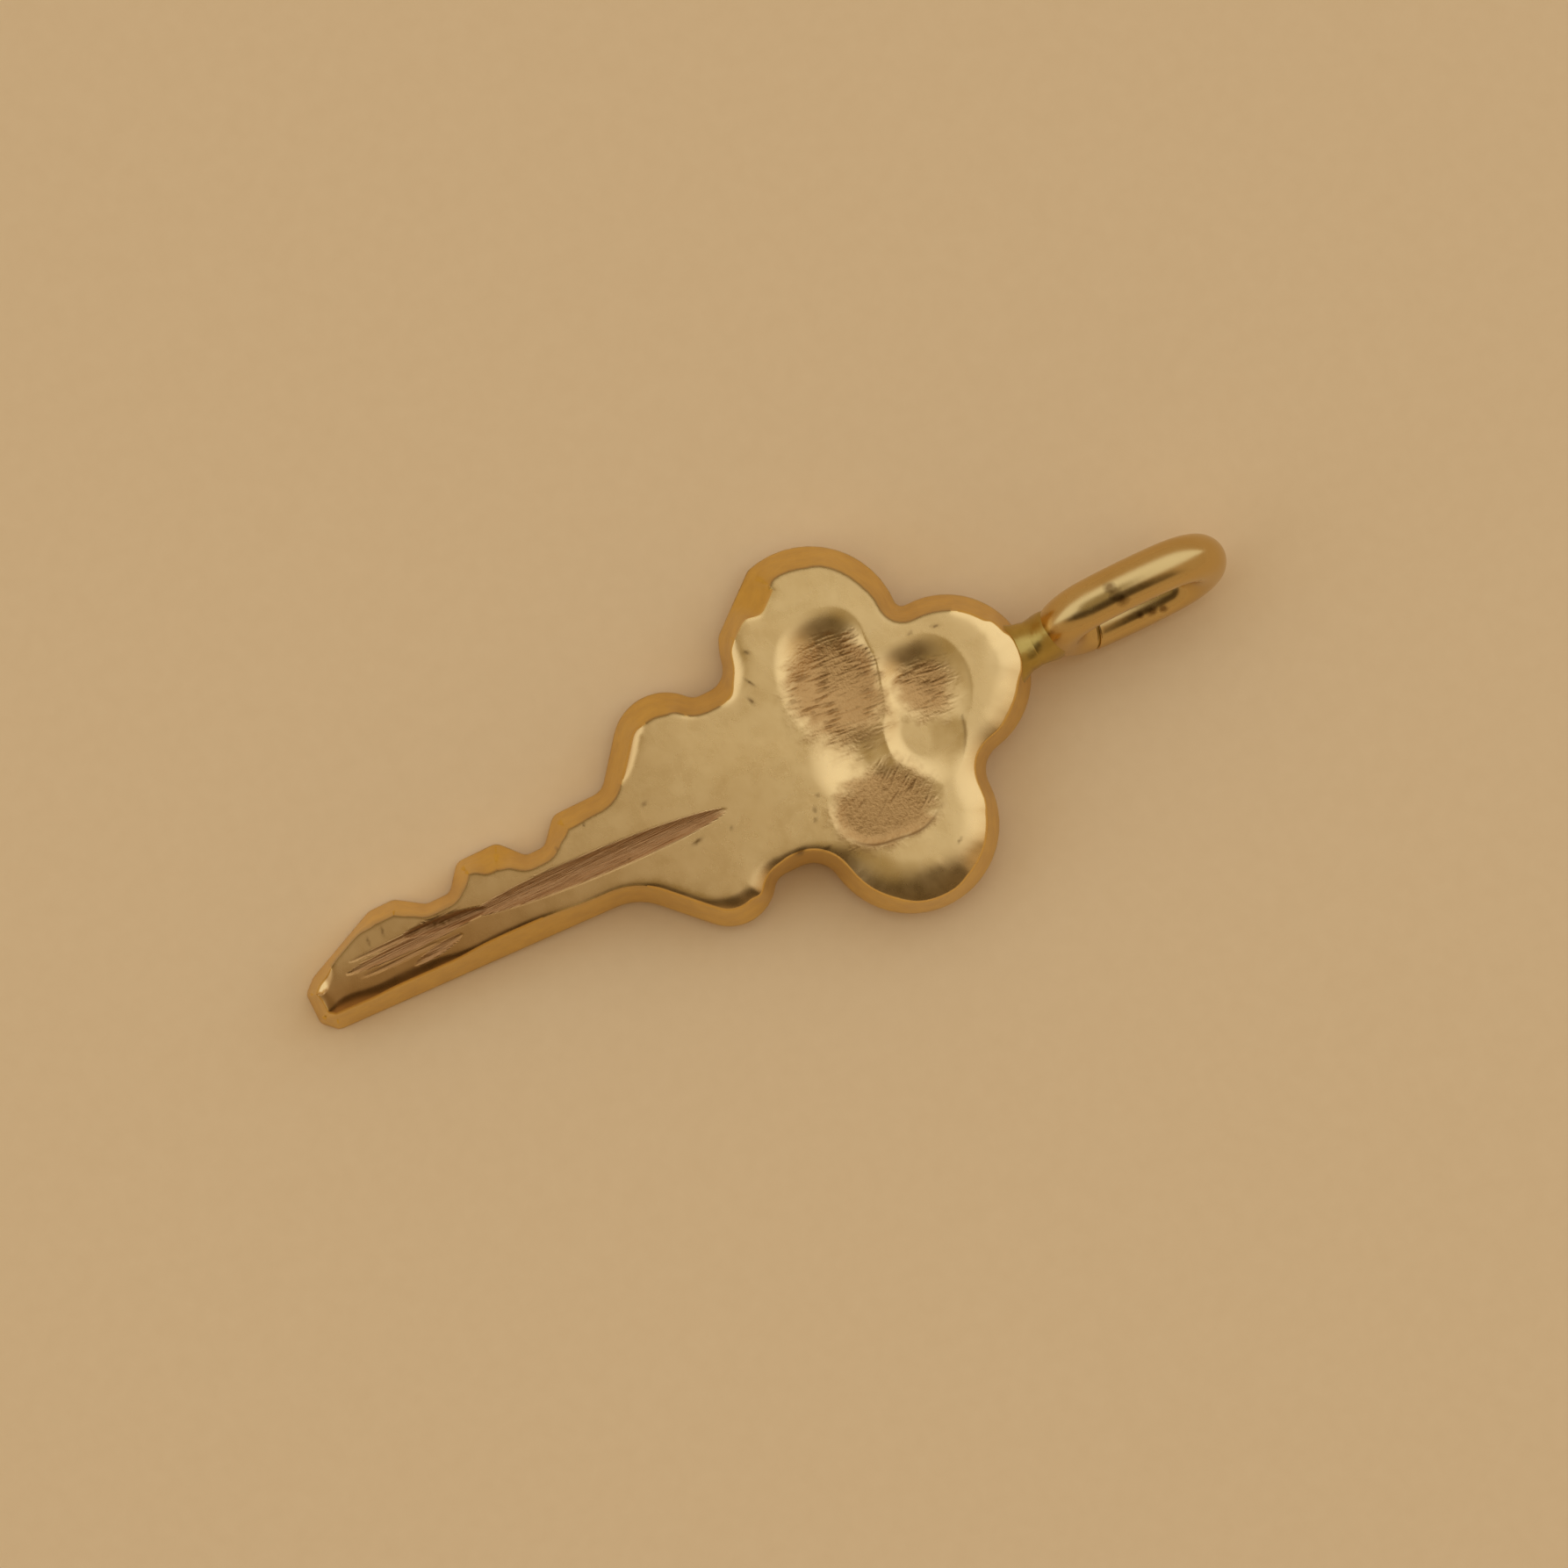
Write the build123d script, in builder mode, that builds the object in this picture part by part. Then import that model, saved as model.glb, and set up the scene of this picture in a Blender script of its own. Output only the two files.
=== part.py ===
"""Cast gold key charm: a filed and engraved plate with a wire bail soldered to its bow.

Millimetres. +X runs from the blade's tip towards the bail, +Y towards the toothed edge of the
blade, +Z out of the engraved face. The origin lies on the flat back, under the middle of the bow.
"""
import math
import os

from build123d import *

os.makedirs("parts", exist_ok=True)

# Plate: its walls lean in with the mould's draft, and the face rolls over to meet them at a crease
wall_height = 1.05
wall_draft = 17.0
edge_roll_height = 0.13
edge_roll_slope = 60.0

# Bow: three lobes, cut by eye, so each has its own radius and centre
left_lobe_radius = 1.62
left_lobe_x = -0.60
left_lobe_y = 1.80
right_lobe_radius = 1.57
right_lobe_x = -0.45
right_lobe_y = -1.93
top_lobe_radius = 1.49
top_lobe_x = 1.25
top_lobe_y = 0.10
left_notch_fillet = 0.12
right_notch_fillet = 0.50

# Flat filed on the left lobe: the way it faces, and how far it cuts in from the lobe's rim
filed_flat_facing = 130.0
filed_flat_depth = 0.13

# Collar between the bow and the shoulders
collar_half_width = 1.74
collar_left_fillet = 0.40
collar_right_fillet = 0.50

# Shoulders: two round bumps, each with a straight flank that runs down to the blade
left_bump_radius = 0.94
left_bump_x = -3.71
left_bump_y = 1.21
left_flank_facing = 142.0
right_bump_radius = 0.82
right_bump_x = -3.75
right_bump_y = -1.41
right_flank_facing = 225.0
bump_left_fillet = 0.25
bump_right_fillet = 0.30
left_flank_fillet = 0.35
right_flank_fillet = 1.00

# Blade: the upper edge that the teeth are filed into, and the slanting lower edge
blade_upper_y = 0.98
blade_root_lower_y = -1.04
blade_tip_lower_y = -0.76

# Tip: four filed facets, each by the way it faces
tip_x = -11.33
tip_upper_corner_y = 0.05
tip_lower_corner_y = -0.52
tip_end_facing = 180.0
tip_upper_facing = 132.0
tip_lower_facing = 226.0
tip_slope_x = -9.75
tip_slope_drop = 0.12
tip_slope_facing = 114.0

# Notches filed into the upper edge, by the steepness of their flanks; the far tooth is filed lower
notch_depth = 0.43
notch_floor_fillet = 0.12
near_notch_x = -6.60
near_notch_floor_width = 0.36
near_notch_steepness = 49.0
far_notch_x = -8.50
far_notch_floor_width = 0.46
far_notch_near_steepness = 52.0
far_notch_far_steepness = 34.0
far_tooth_drop = 0.10
tooth_corner_fillet = 0.20

# Recess in the bow: shallow strokes of one large ball burr, each with its own depth
burr_radius = 3.30
long_scoop_start_x = -0.50
long_scoop_start_y = 1.15
long_scoop_end_x = -0.74
long_scoop_end_y = 0.30
long_scoop_depth = 0.14
side_scoop_x = 0.77
side_scoop_y = 0.08
side_scoop_depth = 0.115
low_scoop_x = -0.59
low_scoop_y = -1.09
low_scoop_depth = 0.12

# Groove along the blade: two overlapping strokes of a V graver
graver_half_angle = 66.0
long_stroke_bow_x = -3.25
long_stroke_bow_y = -0.26
long_stroke_tip_x = -7.95
long_stroke_tip_y = 0.02
long_stroke_depth = 0.08
short_stroke_bow_x = -7.55
short_stroke_bow_y = 0.02
short_stroke_tip_x = -10.45
short_stroke_tip_y = 0.10
short_stroke_depth = 0.06

# Bail: an oval of round wire, twisted a little out of square to the plate
wire_diameter = 0.85
bail_length = 3.64
bail_height = 2.54
bail_twist = 14.0
bail_centre_z = 0.55
seam_angle = 21.0
seam_width = 0.06
seam_recess = 0.03

# Neck: a peg in a drilled socket, soldered at both ends, where the two solders meet at a waist
neck_length = 0.24
peg_diameter = 0.80
socket_depth = 0.45
solder_gap = 0.02
solder_skin = 0.04
bow_solder_flare = 0.09
bail_solder_reach = 0.12
bail_solder_cover = 0.26
bail_solder_flare = 0.20

# Worked-out values
plate_thickness = wall_height + edge_roll_height
clear_of_edge = left_lobe_radius
wire_radius = wire_diameter / 2
peg_radius = peg_diameter / 2
bend_radius = (bail_height - wire_diameter) / 2
bend_x = (bail_length - bail_height) / 2
bow_end_x = top_lobe_x + top_lobe_radius
socket_floor_x = bow_end_x - socket_depth
bail_neck_x = bow_end_x + neck_length
bail_centre_x = bail_neck_x + bail_length / 2
waist_x = bail_neck_x - bail_solder_reach
collar_x = (left_lobe_x + left_bump_x) / 2
burr_centre_z = plate_thickness + burr_radius


def run(height, steepness):
    """How far a slope runs while it climbs a height."""
    return height / math.tan(math.radians(steepness))


def nearest_corner(sketch, x, y):
    """The sketch's corner that lies nearest to a place."""
    return sketch.vertices().sort_by_distance(Vector(x, y, 0))[0]


def level_cut(x, y, radius, level_y, side):
    """Place where a level line cuts a round, on the round's bow side (1) or tip side (-1)."""
    return x + side * math.sqrt(radius**2 - (level_y - y) ** 2), level_y


def flank(x, y, radius, facing, turn, foot_y):
    """Top and foot of a shoulder's flank, which leaves its bump at a tangent and ends inside the blade."""
    outward = Vector(1, 0).rotate(Axis.Z, facing)
    along = outward.rotate(Axis.Z, turn)
    top = Vector(x, y) + outward * radius
    return top, top + along * ((foot_y - top.Y) / along.Y)


def drafted_plane(x, y, facing):
    """Plane through a place on the back's outline that leans in with the mould's draft."""
    level = Vector(1, 0).rotate(Axis.Z, facing)
    lean = math.radians(wall_draft)
    return Plane(origin=(x, y, 0), z_dir=level * math.cos(lean) + Vector(0, 0, math.sin(lean)))


def neck_section(x):
    """Plane square to the neck, with its own x along the plate and its own y out of the face."""
    return Plane(origin=(x, 0, bail_centre_z), x_dir=(0, 1, 0), z_dir=(1, 0, 0))


def sweep_wire(radius, path, mode=Mode.ADD):
    """Round wire of a given radius along a path."""
    with BuildSketch(path ^ 0) as section:
        Circle(radius)
    sweep(section.sketch, path=path, mode=mode)


# Outline of the casting's back, before its teeth and tip are filed
left_foot_y = blade_upper_y / 2
right_foot_y = blade_root_lower_y / 2
left_lobe_cut = level_cut(left_lobe_x, left_lobe_y, left_lobe_radius, collar_half_width, -1)
left_bump_cut = level_cut(left_bump_x, left_bump_y, left_bump_radius, collar_half_width, 1)
right_lobe_cut = level_cut(right_lobe_x, right_lobe_y, right_lobe_radius, -collar_half_width, -1)
right_bump_cut = level_cut(right_bump_x, right_bump_y, right_bump_radius, -collar_half_width, 1)
collar_sides = (
    (left_lobe_cut, collar_left_fillet, left_bump_cut, bump_left_fillet),
    (right_lobe_cut, collar_right_fillet, right_bump_cut, bump_right_fillet),
)
left_flank = flank(left_bump_x, left_bump_y, left_bump_radius, left_flank_facing, 90, left_foot_y)
right_flank = flank(right_bump_x, right_bump_y, right_bump_radius, right_flank_facing, -90, right_foot_y)
with BuildSketch() as outline:
    with Locations(Location((left_lobe_x, left_lobe_y, 0), (0, 0, filed_flat_facing))):
        Circle(left_lobe_radius)
        with Locations((left_lobe_radius - filed_flat_depth, 0)):
            Rectangle(left_lobe_radius, left_lobe_radius * 2, align=(Align.MIN, Align.CENTER), mode=Mode.SUBTRACT)
    with Locations((right_lobe_x, right_lobe_y)):
        Circle(right_lobe_radius)
    with Locations((top_lobe_x, top_lobe_y)):
        Circle(top_lobe_radius)
    with Locations((left_bump_x, left_bump_y)):
        Circle(left_bump_radius)
    with Locations((right_bump_x, right_bump_y)):
        Circle(right_bump_radius)
    with BuildLine():
        Polyline(
            (top_lobe_x, top_lobe_y),
            (left_lobe_x, left_lobe_y),
            (collar_x, 0),
            (right_lobe_x, right_lobe_y),
            close=True,
        )
    make_face()
    with BuildLine():
        Polyline(
            (collar_x, 0),
            (left_bump_x, left_bump_y),
            left_flank[0],
            left_flank[1],
            right_flank[1],
            right_flank[0],
            (right_bump_x, right_bump_y),
            close=True,
        )
    make_face()
    with BuildLine():
        Polyline(
            (left_lobe_x, collar_half_width),
            (left_bump_x, collar_half_width),
            (right_bump_x, -collar_half_width),
            (right_lobe_x, -collar_half_width),
            close=True,
        )
    make_face()
    with BuildLine():
        Polyline(
            (left_bump_x, blade_upper_y),
            (tip_x - clear_of_edge, blade_upper_y),
            (tip_x - clear_of_edge, blade_tip_lower_y),
            (tip_x, blade_tip_lower_y),
            (right_bump_x, blade_root_lower_y),
            close=True,
        )
    make_face()
    fillet(nearest_corner(outline, top_lobe_x, left_lobe_y), left_notch_fillet)
    fillet(nearest_corner(outline, top_lobe_x, right_lobe_y), right_notch_fillet)
    for lobe_cut, lobe_fillet, bump_cut, bump_fillet in collar_sides:
        room = min(1, (lobe_cut[0] - bump_cut[0]) / (lobe_fillet + bump_fillet))
        fillet(nearest_corner(outline, *lobe_cut), lobe_fillet * room)
        fillet(nearest_corner(outline, *bump_cut), bump_fillet * room)
    fillet(nearest_corner(outline, left_flank[1].X, blade_upper_y), left_flank_fillet)
    fillet(nearest_corner(outline, right_flank[1].X, blade_root_lower_y), right_flank_fillet)

outline_box = outline.sketch.bounding_box()

# Filed facets of the tip, as a place on the back's outline and a facing
tip_slope_y = blade_upper_y - tip_slope_drop
tip_facets = (
    (tip_slope_x, tip_slope_y, tip_slope_facing),
    (tip_x, tip_upper_corner_y, tip_upper_facing),
    (tip_x, tip_upper_corner_y, tip_end_facing),
    (tip_x, tip_lower_corner_y, tip_lower_facing),
)

# Notch profiles on the back, from the bow's side to the tip's, open past the blade's edge
open_y = blade_upper_y + clear_of_edge
notch_floor_y = blade_upper_y - notch_depth
far_tooth_y = blade_upper_y - far_tooth_drop
near_notch_bow_x = near_notch_x + near_notch_floor_width / 2
near_notch_tip_x = near_notch_x - near_notch_floor_width / 2
far_notch_bow_x = far_notch_x + far_notch_floor_width / 2
far_notch_tip_x = far_notch_x - far_notch_floor_width / 2
far_tooth_x = far_notch_tip_x - run(far_tooth_y - notch_floor_y, far_notch_far_steepness)
near_notch = (
    (near_notch_bow_x + run(open_y - notch_floor_y, near_notch_steepness), open_y),
    (near_notch_bow_x, notch_floor_y),
    (near_notch_tip_x, notch_floor_y),
    (near_notch_tip_x - run(open_y - notch_floor_y, near_notch_steepness), open_y),
)
far_notch = (
    (far_notch_bow_x + run(open_y - notch_floor_y, far_notch_near_steepness), open_y),
    (far_notch_bow_x, notch_floor_y),
    (far_notch_tip_x, notch_floor_y),
    (far_tooth_x, far_tooth_y),
    (tip_x, far_tooth_y),
    (tip_x, open_y),
)
tooth_corners = (
    (near_notch_bow_x + run(notch_depth, near_notch_steepness), blade_upper_y),
    (near_notch_tip_x - run(notch_depth, near_notch_steepness), blade_upper_y),
    (far_notch_bow_x + run(notch_depth, far_notch_near_steepness), blade_upper_y),
)

# Ball centres of the scoops, and the ends of the graver's strokes on the face
long_scoop_start = Vector(long_scoop_start_x, long_scoop_start_y, burr_centre_z - long_scoop_depth)
long_scoop_end = Vector(long_scoop_end_x, long_scoop_end_y, burr_centre_z - long_scoop_depth)
scoops = (
    long_scoop_start,
    long_scoop_end,
    Vector(side_scoop_x, side_scoop_y, burr_centre_z - side_scoop_depth),
    Vector(low_scoop_x, low_scoop_y, burr_centre_z - low_scoop_depth),
)
strokes = (
    (
        Vector(long_stroke_bow_x, long_stroke_bow_y, plate_thickness),
        Vector(long_stroke_tip_x, long_stroke_tip_y, plate_thickness),
        long_stroke_depth,
    ),
    (
        Vector(short_stroke_bow_x, short_stroke_bow_y, plate_thickness),
        Vector(short_stroke_tip_x, short_stroke_tip_y, plate_thickness),
        short_stroke_depth,
    ),
)

# Drafted casting up to the crease, and the rolled face that trims the filed plate above it
with BuildPart() as drafted_wall:
    with BuildSketch():
        add(outline.sketch)
    extrude(amount=wall_height)
    draft(drafted_wall.faces().filter_by(Axis.Z, reverse=True), Plane.XY, wall_draft)

with BuildPart() as rolled_face:
    extrude(drafted_wall.faces().sort_by(Axis.Z)[-1], amount=edge_roll_height)
    draft(rolled_face.faces().filter_by(Axis.Z, reverse=True), Plane.XY.offset(wall_height), edge_roll_slope)
    with BuildSketch():
        with Locations(outline_box.center()):
            Rectangle(outline_box.size.X * 2, outline_box.size.Y * 2)
    extrude(amount=wall_height)

# Key body: cast plate, filed teeth and tip, burred recess, engraved groove and drilled socket
with BuildPart() as key_body:
    with BuildSketch():
        add(outline.sketch)
    extrude(amount=plate_thickness)
    draft(key_body.faces().filter_by(Axis.Z, reverse=True), Plane.XY, wall_draft)
    for x, y, facing in tip_facets:
        split(bisect_by=drafted_plane(x, y, facing), keep=Keep.BOTTOM)
    for notch in (near_notch, far_notch):
        with BuildSketch():
            with BuildLine():
                FilletPolyline(*notch, radius=notch_floor_fillet)
                Line(notch[-1], notch[0])
            make_face()
        extrude(amount=plate_thickness, taper=-wall_draft, mode=Mode.SUBTRACT)
    wall_edges = key_body.edges().filter_by(lambda edge: abs((edge @ 1).Z - (edge @ 0).Z) > wall_height)
    fillet([wall_edges.sort_by_distance(Vector(x, y, 0))[0] for x, y in tooth_corners], tooth_corner_fillet)
    add(rolled_face.part, mode=Mode.INTERSECT)

    with Locations(*scoops):
        Sphere(burr_radius, mode=Mode.SUBTRACT)
    with BuildSketch(Plane(origin=long_scoop_start, z_dir=long_scoop_end - long_scoop_start)):
        Circle(burr_radius)
    extrude(amount=(long_scoop_end - long_scoop_start).length, mode=Mode.SUBTRACT)

    for bow_end, tip_end, depth in strokes:
        along = (tip_end - bow_end).normalized()
        wheel_radius = (tip_end - bow_end).length ** 2 / (8 * depth) + depth / 2
        wheel_centre = (bow_end + tip_end) / 2 + Vector(0, 0, wheel_radius - depth)
        wheel_plane = Plane(origin=wheel_centre, x_dir=Vector(0, 0, 1).cross(along), z_dir=along)
        graver_width = plate_thickness * math.tan(math.radians(graver_half_angle))
        with BuildSketch(wheel_plane):
            with BuildLine():
                Polyline(
                    (0, -wheel_radius),
                    (graver_width, plate_thickness - wheel_radius),
                    (-graver_width, plate_thickness - wheel_radius),
                    close=True,
                )
            make_face()
        revolve(axis=Axis(wheel_centre, wheel_plane.x_dir), mode=Mode.SUBTRACT)

    with BuildSketch(neck_section(socket_floor_x)):
        Circle(peg_radius + solder_gap)
    extrude(amount=socket_depth * 2, mode=Mode.SUBTRACT)
key_body.part.label = "key_body"
export_step(key_body.part, "parts/key_body.step")

# Bail ring: wire bent to an oval, with its ends butted low on the side that faces the bow
twist = math.radians(bail_twist)
bail_plane = Plane(
    origin=(bail_centre_x, 0, bail_centre_z),
    x_dir=(1, 0, 0),
    z_dir=(0, -math.cos(twist), math.sin(twist)),
)
seam_turn = math.degrees(seam_width / bend_radius)
seam_end = -90 - seam_angle
with BuildPart() as bail_ring:
    with BuildLine(bail_plane) as bail_path:
        CenterArc((-bend_x, 0), bend_radius, seam_end, seam_angle)
        Line((-bend_x, -bend_radius), (bend_x, -bend_radius))
        CenterArc((bend_x, 0), bend_radius, -90, 180)
        Line((bend_x, bend_radius), (-bend_x, bend_radius))
        CenterArc((-bend_x, 0), bend_radius, 90, 180 - seam_angle - seam_turn)
    sweep_wire(wire_radius, bail_path.line)
bail_ring.part.label = "bail_ring"
export_step(bail_ring.part, "parts/bail_ring.step")

# Seam solder: the wafer of solder that closes the bail's butted ends, drawn in a little
with BuildPart() as seam_solder:
    with BuildLine(bail_plane) as seam_path:
        CenterArc((-bend_x, 0), bend_radius, seam_end - seam_turn, seam_turn)
    sweep_wire(wire_radius - seam_recess, seam_path.line)
seam_solder.part.label = "seam_solder"
export_step(seam_solder.part, "parts/seam_solder.step")

# Neck peg: a stub of round wire from the socket's floor to the bail, hollowed to fit the bail's wire
with BuildPart() as neck_peg:
    with BuildSketch(neck_section(socket_floor_x + solder_gap)):
        Circle(peg_radius)
    extrude(amount=bail_neck_x + wire_radius - socket_floor_x - solder_gap)
    sweep_wire(wire_radius + solder_gap, bail_path.line, Mode.SUBTRACT)
neck_peg.part.label = "neck_peg"
export_step(neck_peg.part, "parts/neck_peg.step")

# Bow solder: the hollow fillet of solder that runs from the bow's end down to the peg's waist
with BuildPart() as bow_solder:
    with BuildSketch(Plane.XZ.shift_origin((0, 0, bail_centre_z))):
        with BuildLine():
            edge = Polyline(
                (bow_end_x, peg_radius + bow_solder_flare),
                (socket_floor_x, peg_radius + bow_solder_flare),
                (socket_floor_x, peg_radius + solder_gap),
                (waist_x, peg_radius + solder_gap),
                (waist_x, peg_radius + solder_skin),
            )
            TangentArc(edge @ 1, edge @ 0, tangent=(-1, 0))
        make_face()
    revolve(axis=Axis((0, 0, bail_centre_z), (1, 0, 0)))
    add(key_body.part, mode=Mode.SUBTRACT)
bow_solder.part.label = "bow_solder"
export_step(bow_solder.part, "parts/bow_solder.step")

# Bail solder: the saddle of solder that flows from the peg onto the bail's wire
with BuildPart() as bail_solder:
    with BuildSketch(neck_section(waist_x)):
        Circle(peg_radius + solder_skin)
    with BuildSketch(neck_section(bail_neck_x + bail_solder_cover)):
        Ellipse(wire_radius + solder_skin, peg_radius + bail_solder_flare)
    loft()
    with BuildSketch(neck_section(waist_x)):
        Circle(peg_radius + solder_gap)
    extrude(amount=bail_solder_reach + wire_radius, mode=Mode.SUBTRACT)
    sweep_wire(wire_radius, bail_path.line, Mode.SUBTRACT)
bail_solder.part.label = "bail_solder"
export_step(bail_solder.part, "parts/bail_solder.step")
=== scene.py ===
import math

import bmesh
import bpy
import numpy as np
from mathutils import Matrix, Vector, noise
from mathutils.geometry import delaunay_2d_cdt
from mathutils.kdtree import KDTree


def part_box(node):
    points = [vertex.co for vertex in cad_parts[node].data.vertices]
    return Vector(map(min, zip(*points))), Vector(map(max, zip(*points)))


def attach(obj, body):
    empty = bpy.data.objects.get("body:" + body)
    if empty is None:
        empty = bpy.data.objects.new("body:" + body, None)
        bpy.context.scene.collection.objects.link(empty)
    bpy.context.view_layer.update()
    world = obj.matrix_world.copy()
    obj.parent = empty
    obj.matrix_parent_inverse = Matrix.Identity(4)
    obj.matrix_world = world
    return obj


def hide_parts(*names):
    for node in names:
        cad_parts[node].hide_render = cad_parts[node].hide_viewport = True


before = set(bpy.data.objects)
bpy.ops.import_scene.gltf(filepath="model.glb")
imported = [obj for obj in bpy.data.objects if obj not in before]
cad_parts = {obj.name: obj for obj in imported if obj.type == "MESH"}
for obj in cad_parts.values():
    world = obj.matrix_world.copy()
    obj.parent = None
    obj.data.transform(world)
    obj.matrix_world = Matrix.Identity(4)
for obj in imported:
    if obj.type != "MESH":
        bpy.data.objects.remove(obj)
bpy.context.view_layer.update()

bl_info = {
    "name": "Key charm",
    "version": (1, 0, 0),
    "blender": (4, 5, 0),
    "location": "View3D > Sidebar > Charm",
    "description": "Dresses a cast gold key charm: casting, wire bail, solder and the card that it lies on",
    "category": "Object",
}

# Shapes are written in millimetres, in the charm's own frame: +X from the blade's tip to the bail,
# +Y to the toothed edge, +Z out of the engraved face
MM = 0.001

# Knots round the back's outline: x, y, how far the wall leans in there, how wide the face rolls over, and
# the face's tilt in degrees where the roll meets the wall
EDGE_KNOTS = (
    (2.74, 0.10, 0.15, 0.50, 14),
    (2.62, 0.62, 0.22, 0.30, 12),
    (2.40, 1.00, 0.30, 0.10, 14),
    (1.60, 1.55, 0.31, 0.05, 16),
    (0.60, 2.90, 0.36, 0.05, 16),
    (-0.40, 3.42, 0.41, 0.05, 16),
    (-1.35, 3.05, 0.56, 0.09, 16),
    (-1.80, 2.62, 0.30, 0.08, 16),
    (-2.20, 2.00, 0.20, 0.30, 18),
    (-2.60, 1.75, 0.34, 0.06, 18),
    (-3.70, 2.15, 0.43, 0.05, 18),
    (-4.55, 1.70, 0.34, 0.20, 28),
    (-5.20, 1.00, 0.33, 0.06, 18),
    (-6.00, 0.95, 0.36, 0.04, 18),
    (-6.60, 0.55, 0.28, 0.04, 18),
    (-7.25, 0.98, 0.46, 0.04, 18),
    (-7.95, 0.85, 0.30, 0.04, 18),
    (-8.50, 0.55, 0.23, 0.04, 18),
    (-9.40, 0.88, 0.27, 0.04, 18),
    (-10.40, 0.55, 0.14, 0.05, 18),
    (-11.20, 0.20, 0.20, 0.16, 20),
    (-11.33, -0.40, 0.26, 0.10, 22),
    (-10.90, -0.80, 0.28, 0.46, 24),
    (-9.40, -0.83, 0.30, 0.26, 24),
    (-7.50, -0.90, 0.36, 0.12, 22),
    (-5.50, -0.98, 0.30, 0.10, 22),
    (-4.60, -1.30, 0.30, 0.14, 24),
    (-3.70, -2.23, 0.31, 0.36, 23),
    (-2.95, -1.90, 0.20, 0.28, 16),
    (-2.50, -1.74, 0.25, 0.12, 18),
    (-1.80, -2.75, 0.26, 0.70, 18),
    (-0.45, -3.50, 0.20, 1.00, 18),
    (0.45, -3.25, 0.24, 0.62, 17),
    (0.90, -2.65, 0.24, 0.42, 13),
    (1.12, -1.95, 0.20, 0.42, 14),
    (1.40, -1.30, 0.22, 0.44, 11),
    (2.30, -0.95, 0.26, 0.46, 9),
)
# Columns of the knots
LEAN, ROLL, TILT = 2, 3, 4

# Under the first width of roll the crease is crisp, and under the second it gets a painted dark line, which
# stands in for the dark reflection of its small rounding
CRISP_ROLL = 0.11
LINED_ROLL = 0.08

# Rows of the mesh: shares of the wall's lean, and distances inside the crease. The face's grid starts past
# them, and a row's point that lies this much nearer to the outline than it should is left out
WALL_ROWS = (0.04, 0.3, 0.62, 0.90, 1.0)
CREASE_ROWS = (0.028, 0.060, 0.096)
GRID_START = 0.125
ROW_SLACK = 0.0008

# Rows round the heel, as shares of its radius: how far down, and how far in
HEEL_ROWS = ((0.35, 0.25), (1.0, 1.0))

# The blade browns evenly from the first x to the second, partly from lesser polish and partly as painted shade
BROWNING = (-1.2, -8.5)

# Scoops of the recess: deepest place x, y, depth. Then, every 45 degrees from +X, the radius, how crisp the
# rim is, the share of the radius over which the floor is flat, and how far up the side the burr's marks reach.
# A soft scoop is nowhere crisp or flat, and the reach of an unmarked one lies below its floor
SOFT = (0.0,) * 8
UNMARKED = (-0.5,) * 8
SCOOPS = (
    (-0.42, 1.32, 0.200,
     (0.60, 0.90, 0.90, 1.00, 1.05, 1.44, 1.90, 0.84), (0.4, 0.2, 0.0, 0.1, 0.0, 0.0, 0.0, 0.5),
     (0.2, 0.0, 0.0, 0.0, 0.2, 0.2, 0.2, 0.3), (0.87, 0.50, 0.42, 0.50, 0.87, 0.96, 0.96, 0.96)),
    (0.80, 0.38, 0.140,
     (0.82, 0.78, 0.66, 0.88, 0.80, 0.95, 1.30, 1.00), (0.5, 0.2, 0.0, 0.1, 0.2, 0.2, 0.1, 0.6),
     (0.0, 0.0, 0.0, 0.0, 0.2, 0.0, 0.0, 0.0), (0.62, 0.36, 0.26, 0.32, 0.60, 0.66, 0.66, 0.66)),
    (0.30, -0.40, 0.060,
     (0.90, 1.05, 1.00, 0.55, 0.58, 0.80, 1.25, 1.00), (0.7, 0.4, 0.0, 0.0, 0.1, 0.2, 0.0, 0.7),
     (0.2, 0.1, 0.0, 0.2, 0.3, 0.3, 0.5, 0.3), UNMARKED),
    (-0.72, -0.55, 0.095,
     (0.62, 0.80, 1.30, 1.00, 0.92, 0.95, 1.10, 0.75), SOFT, SOFT, UNMARKED),
    (-0.75, -1.42, 0.055,
     (1.20, 1.10, 1.00, 1.00, 0.92, 0.74, 0.58, 0.90), (0.0, 0.0, 0.0, 0.0, 0.4, 0.9, 1.0, 0.9),
     (0.4, 0.4, 0.2, 0.4, 0.75, 0.7, 0.6, 0.6), (0.78, 0.72, 0.66, 0.80, 1.06, 1.14, 1.14, 1.00)),
)

# Strokes of the graver: start x, y, end x, y, half width, depth
GRAVER_STROKES = (
    (-3.22, -0.27, -8.10, 0.03, 0.235, 0.062),
    (-7.70, 0.00, -9.35, 0.22, 0.130, 0.085),
    (-7.80, 0.00, -10.50, 0.05, 0.110, 0.028),
    (-8.20, 0.16, -10.35, 0.22, 0.060, 0.020),
    (-8.35, -0.20, -9.35, -0.34, 0.090, 0.024),
    (-8.60, -0.16, -10.30, -0.12, 0.050, 0.015),
)

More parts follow.
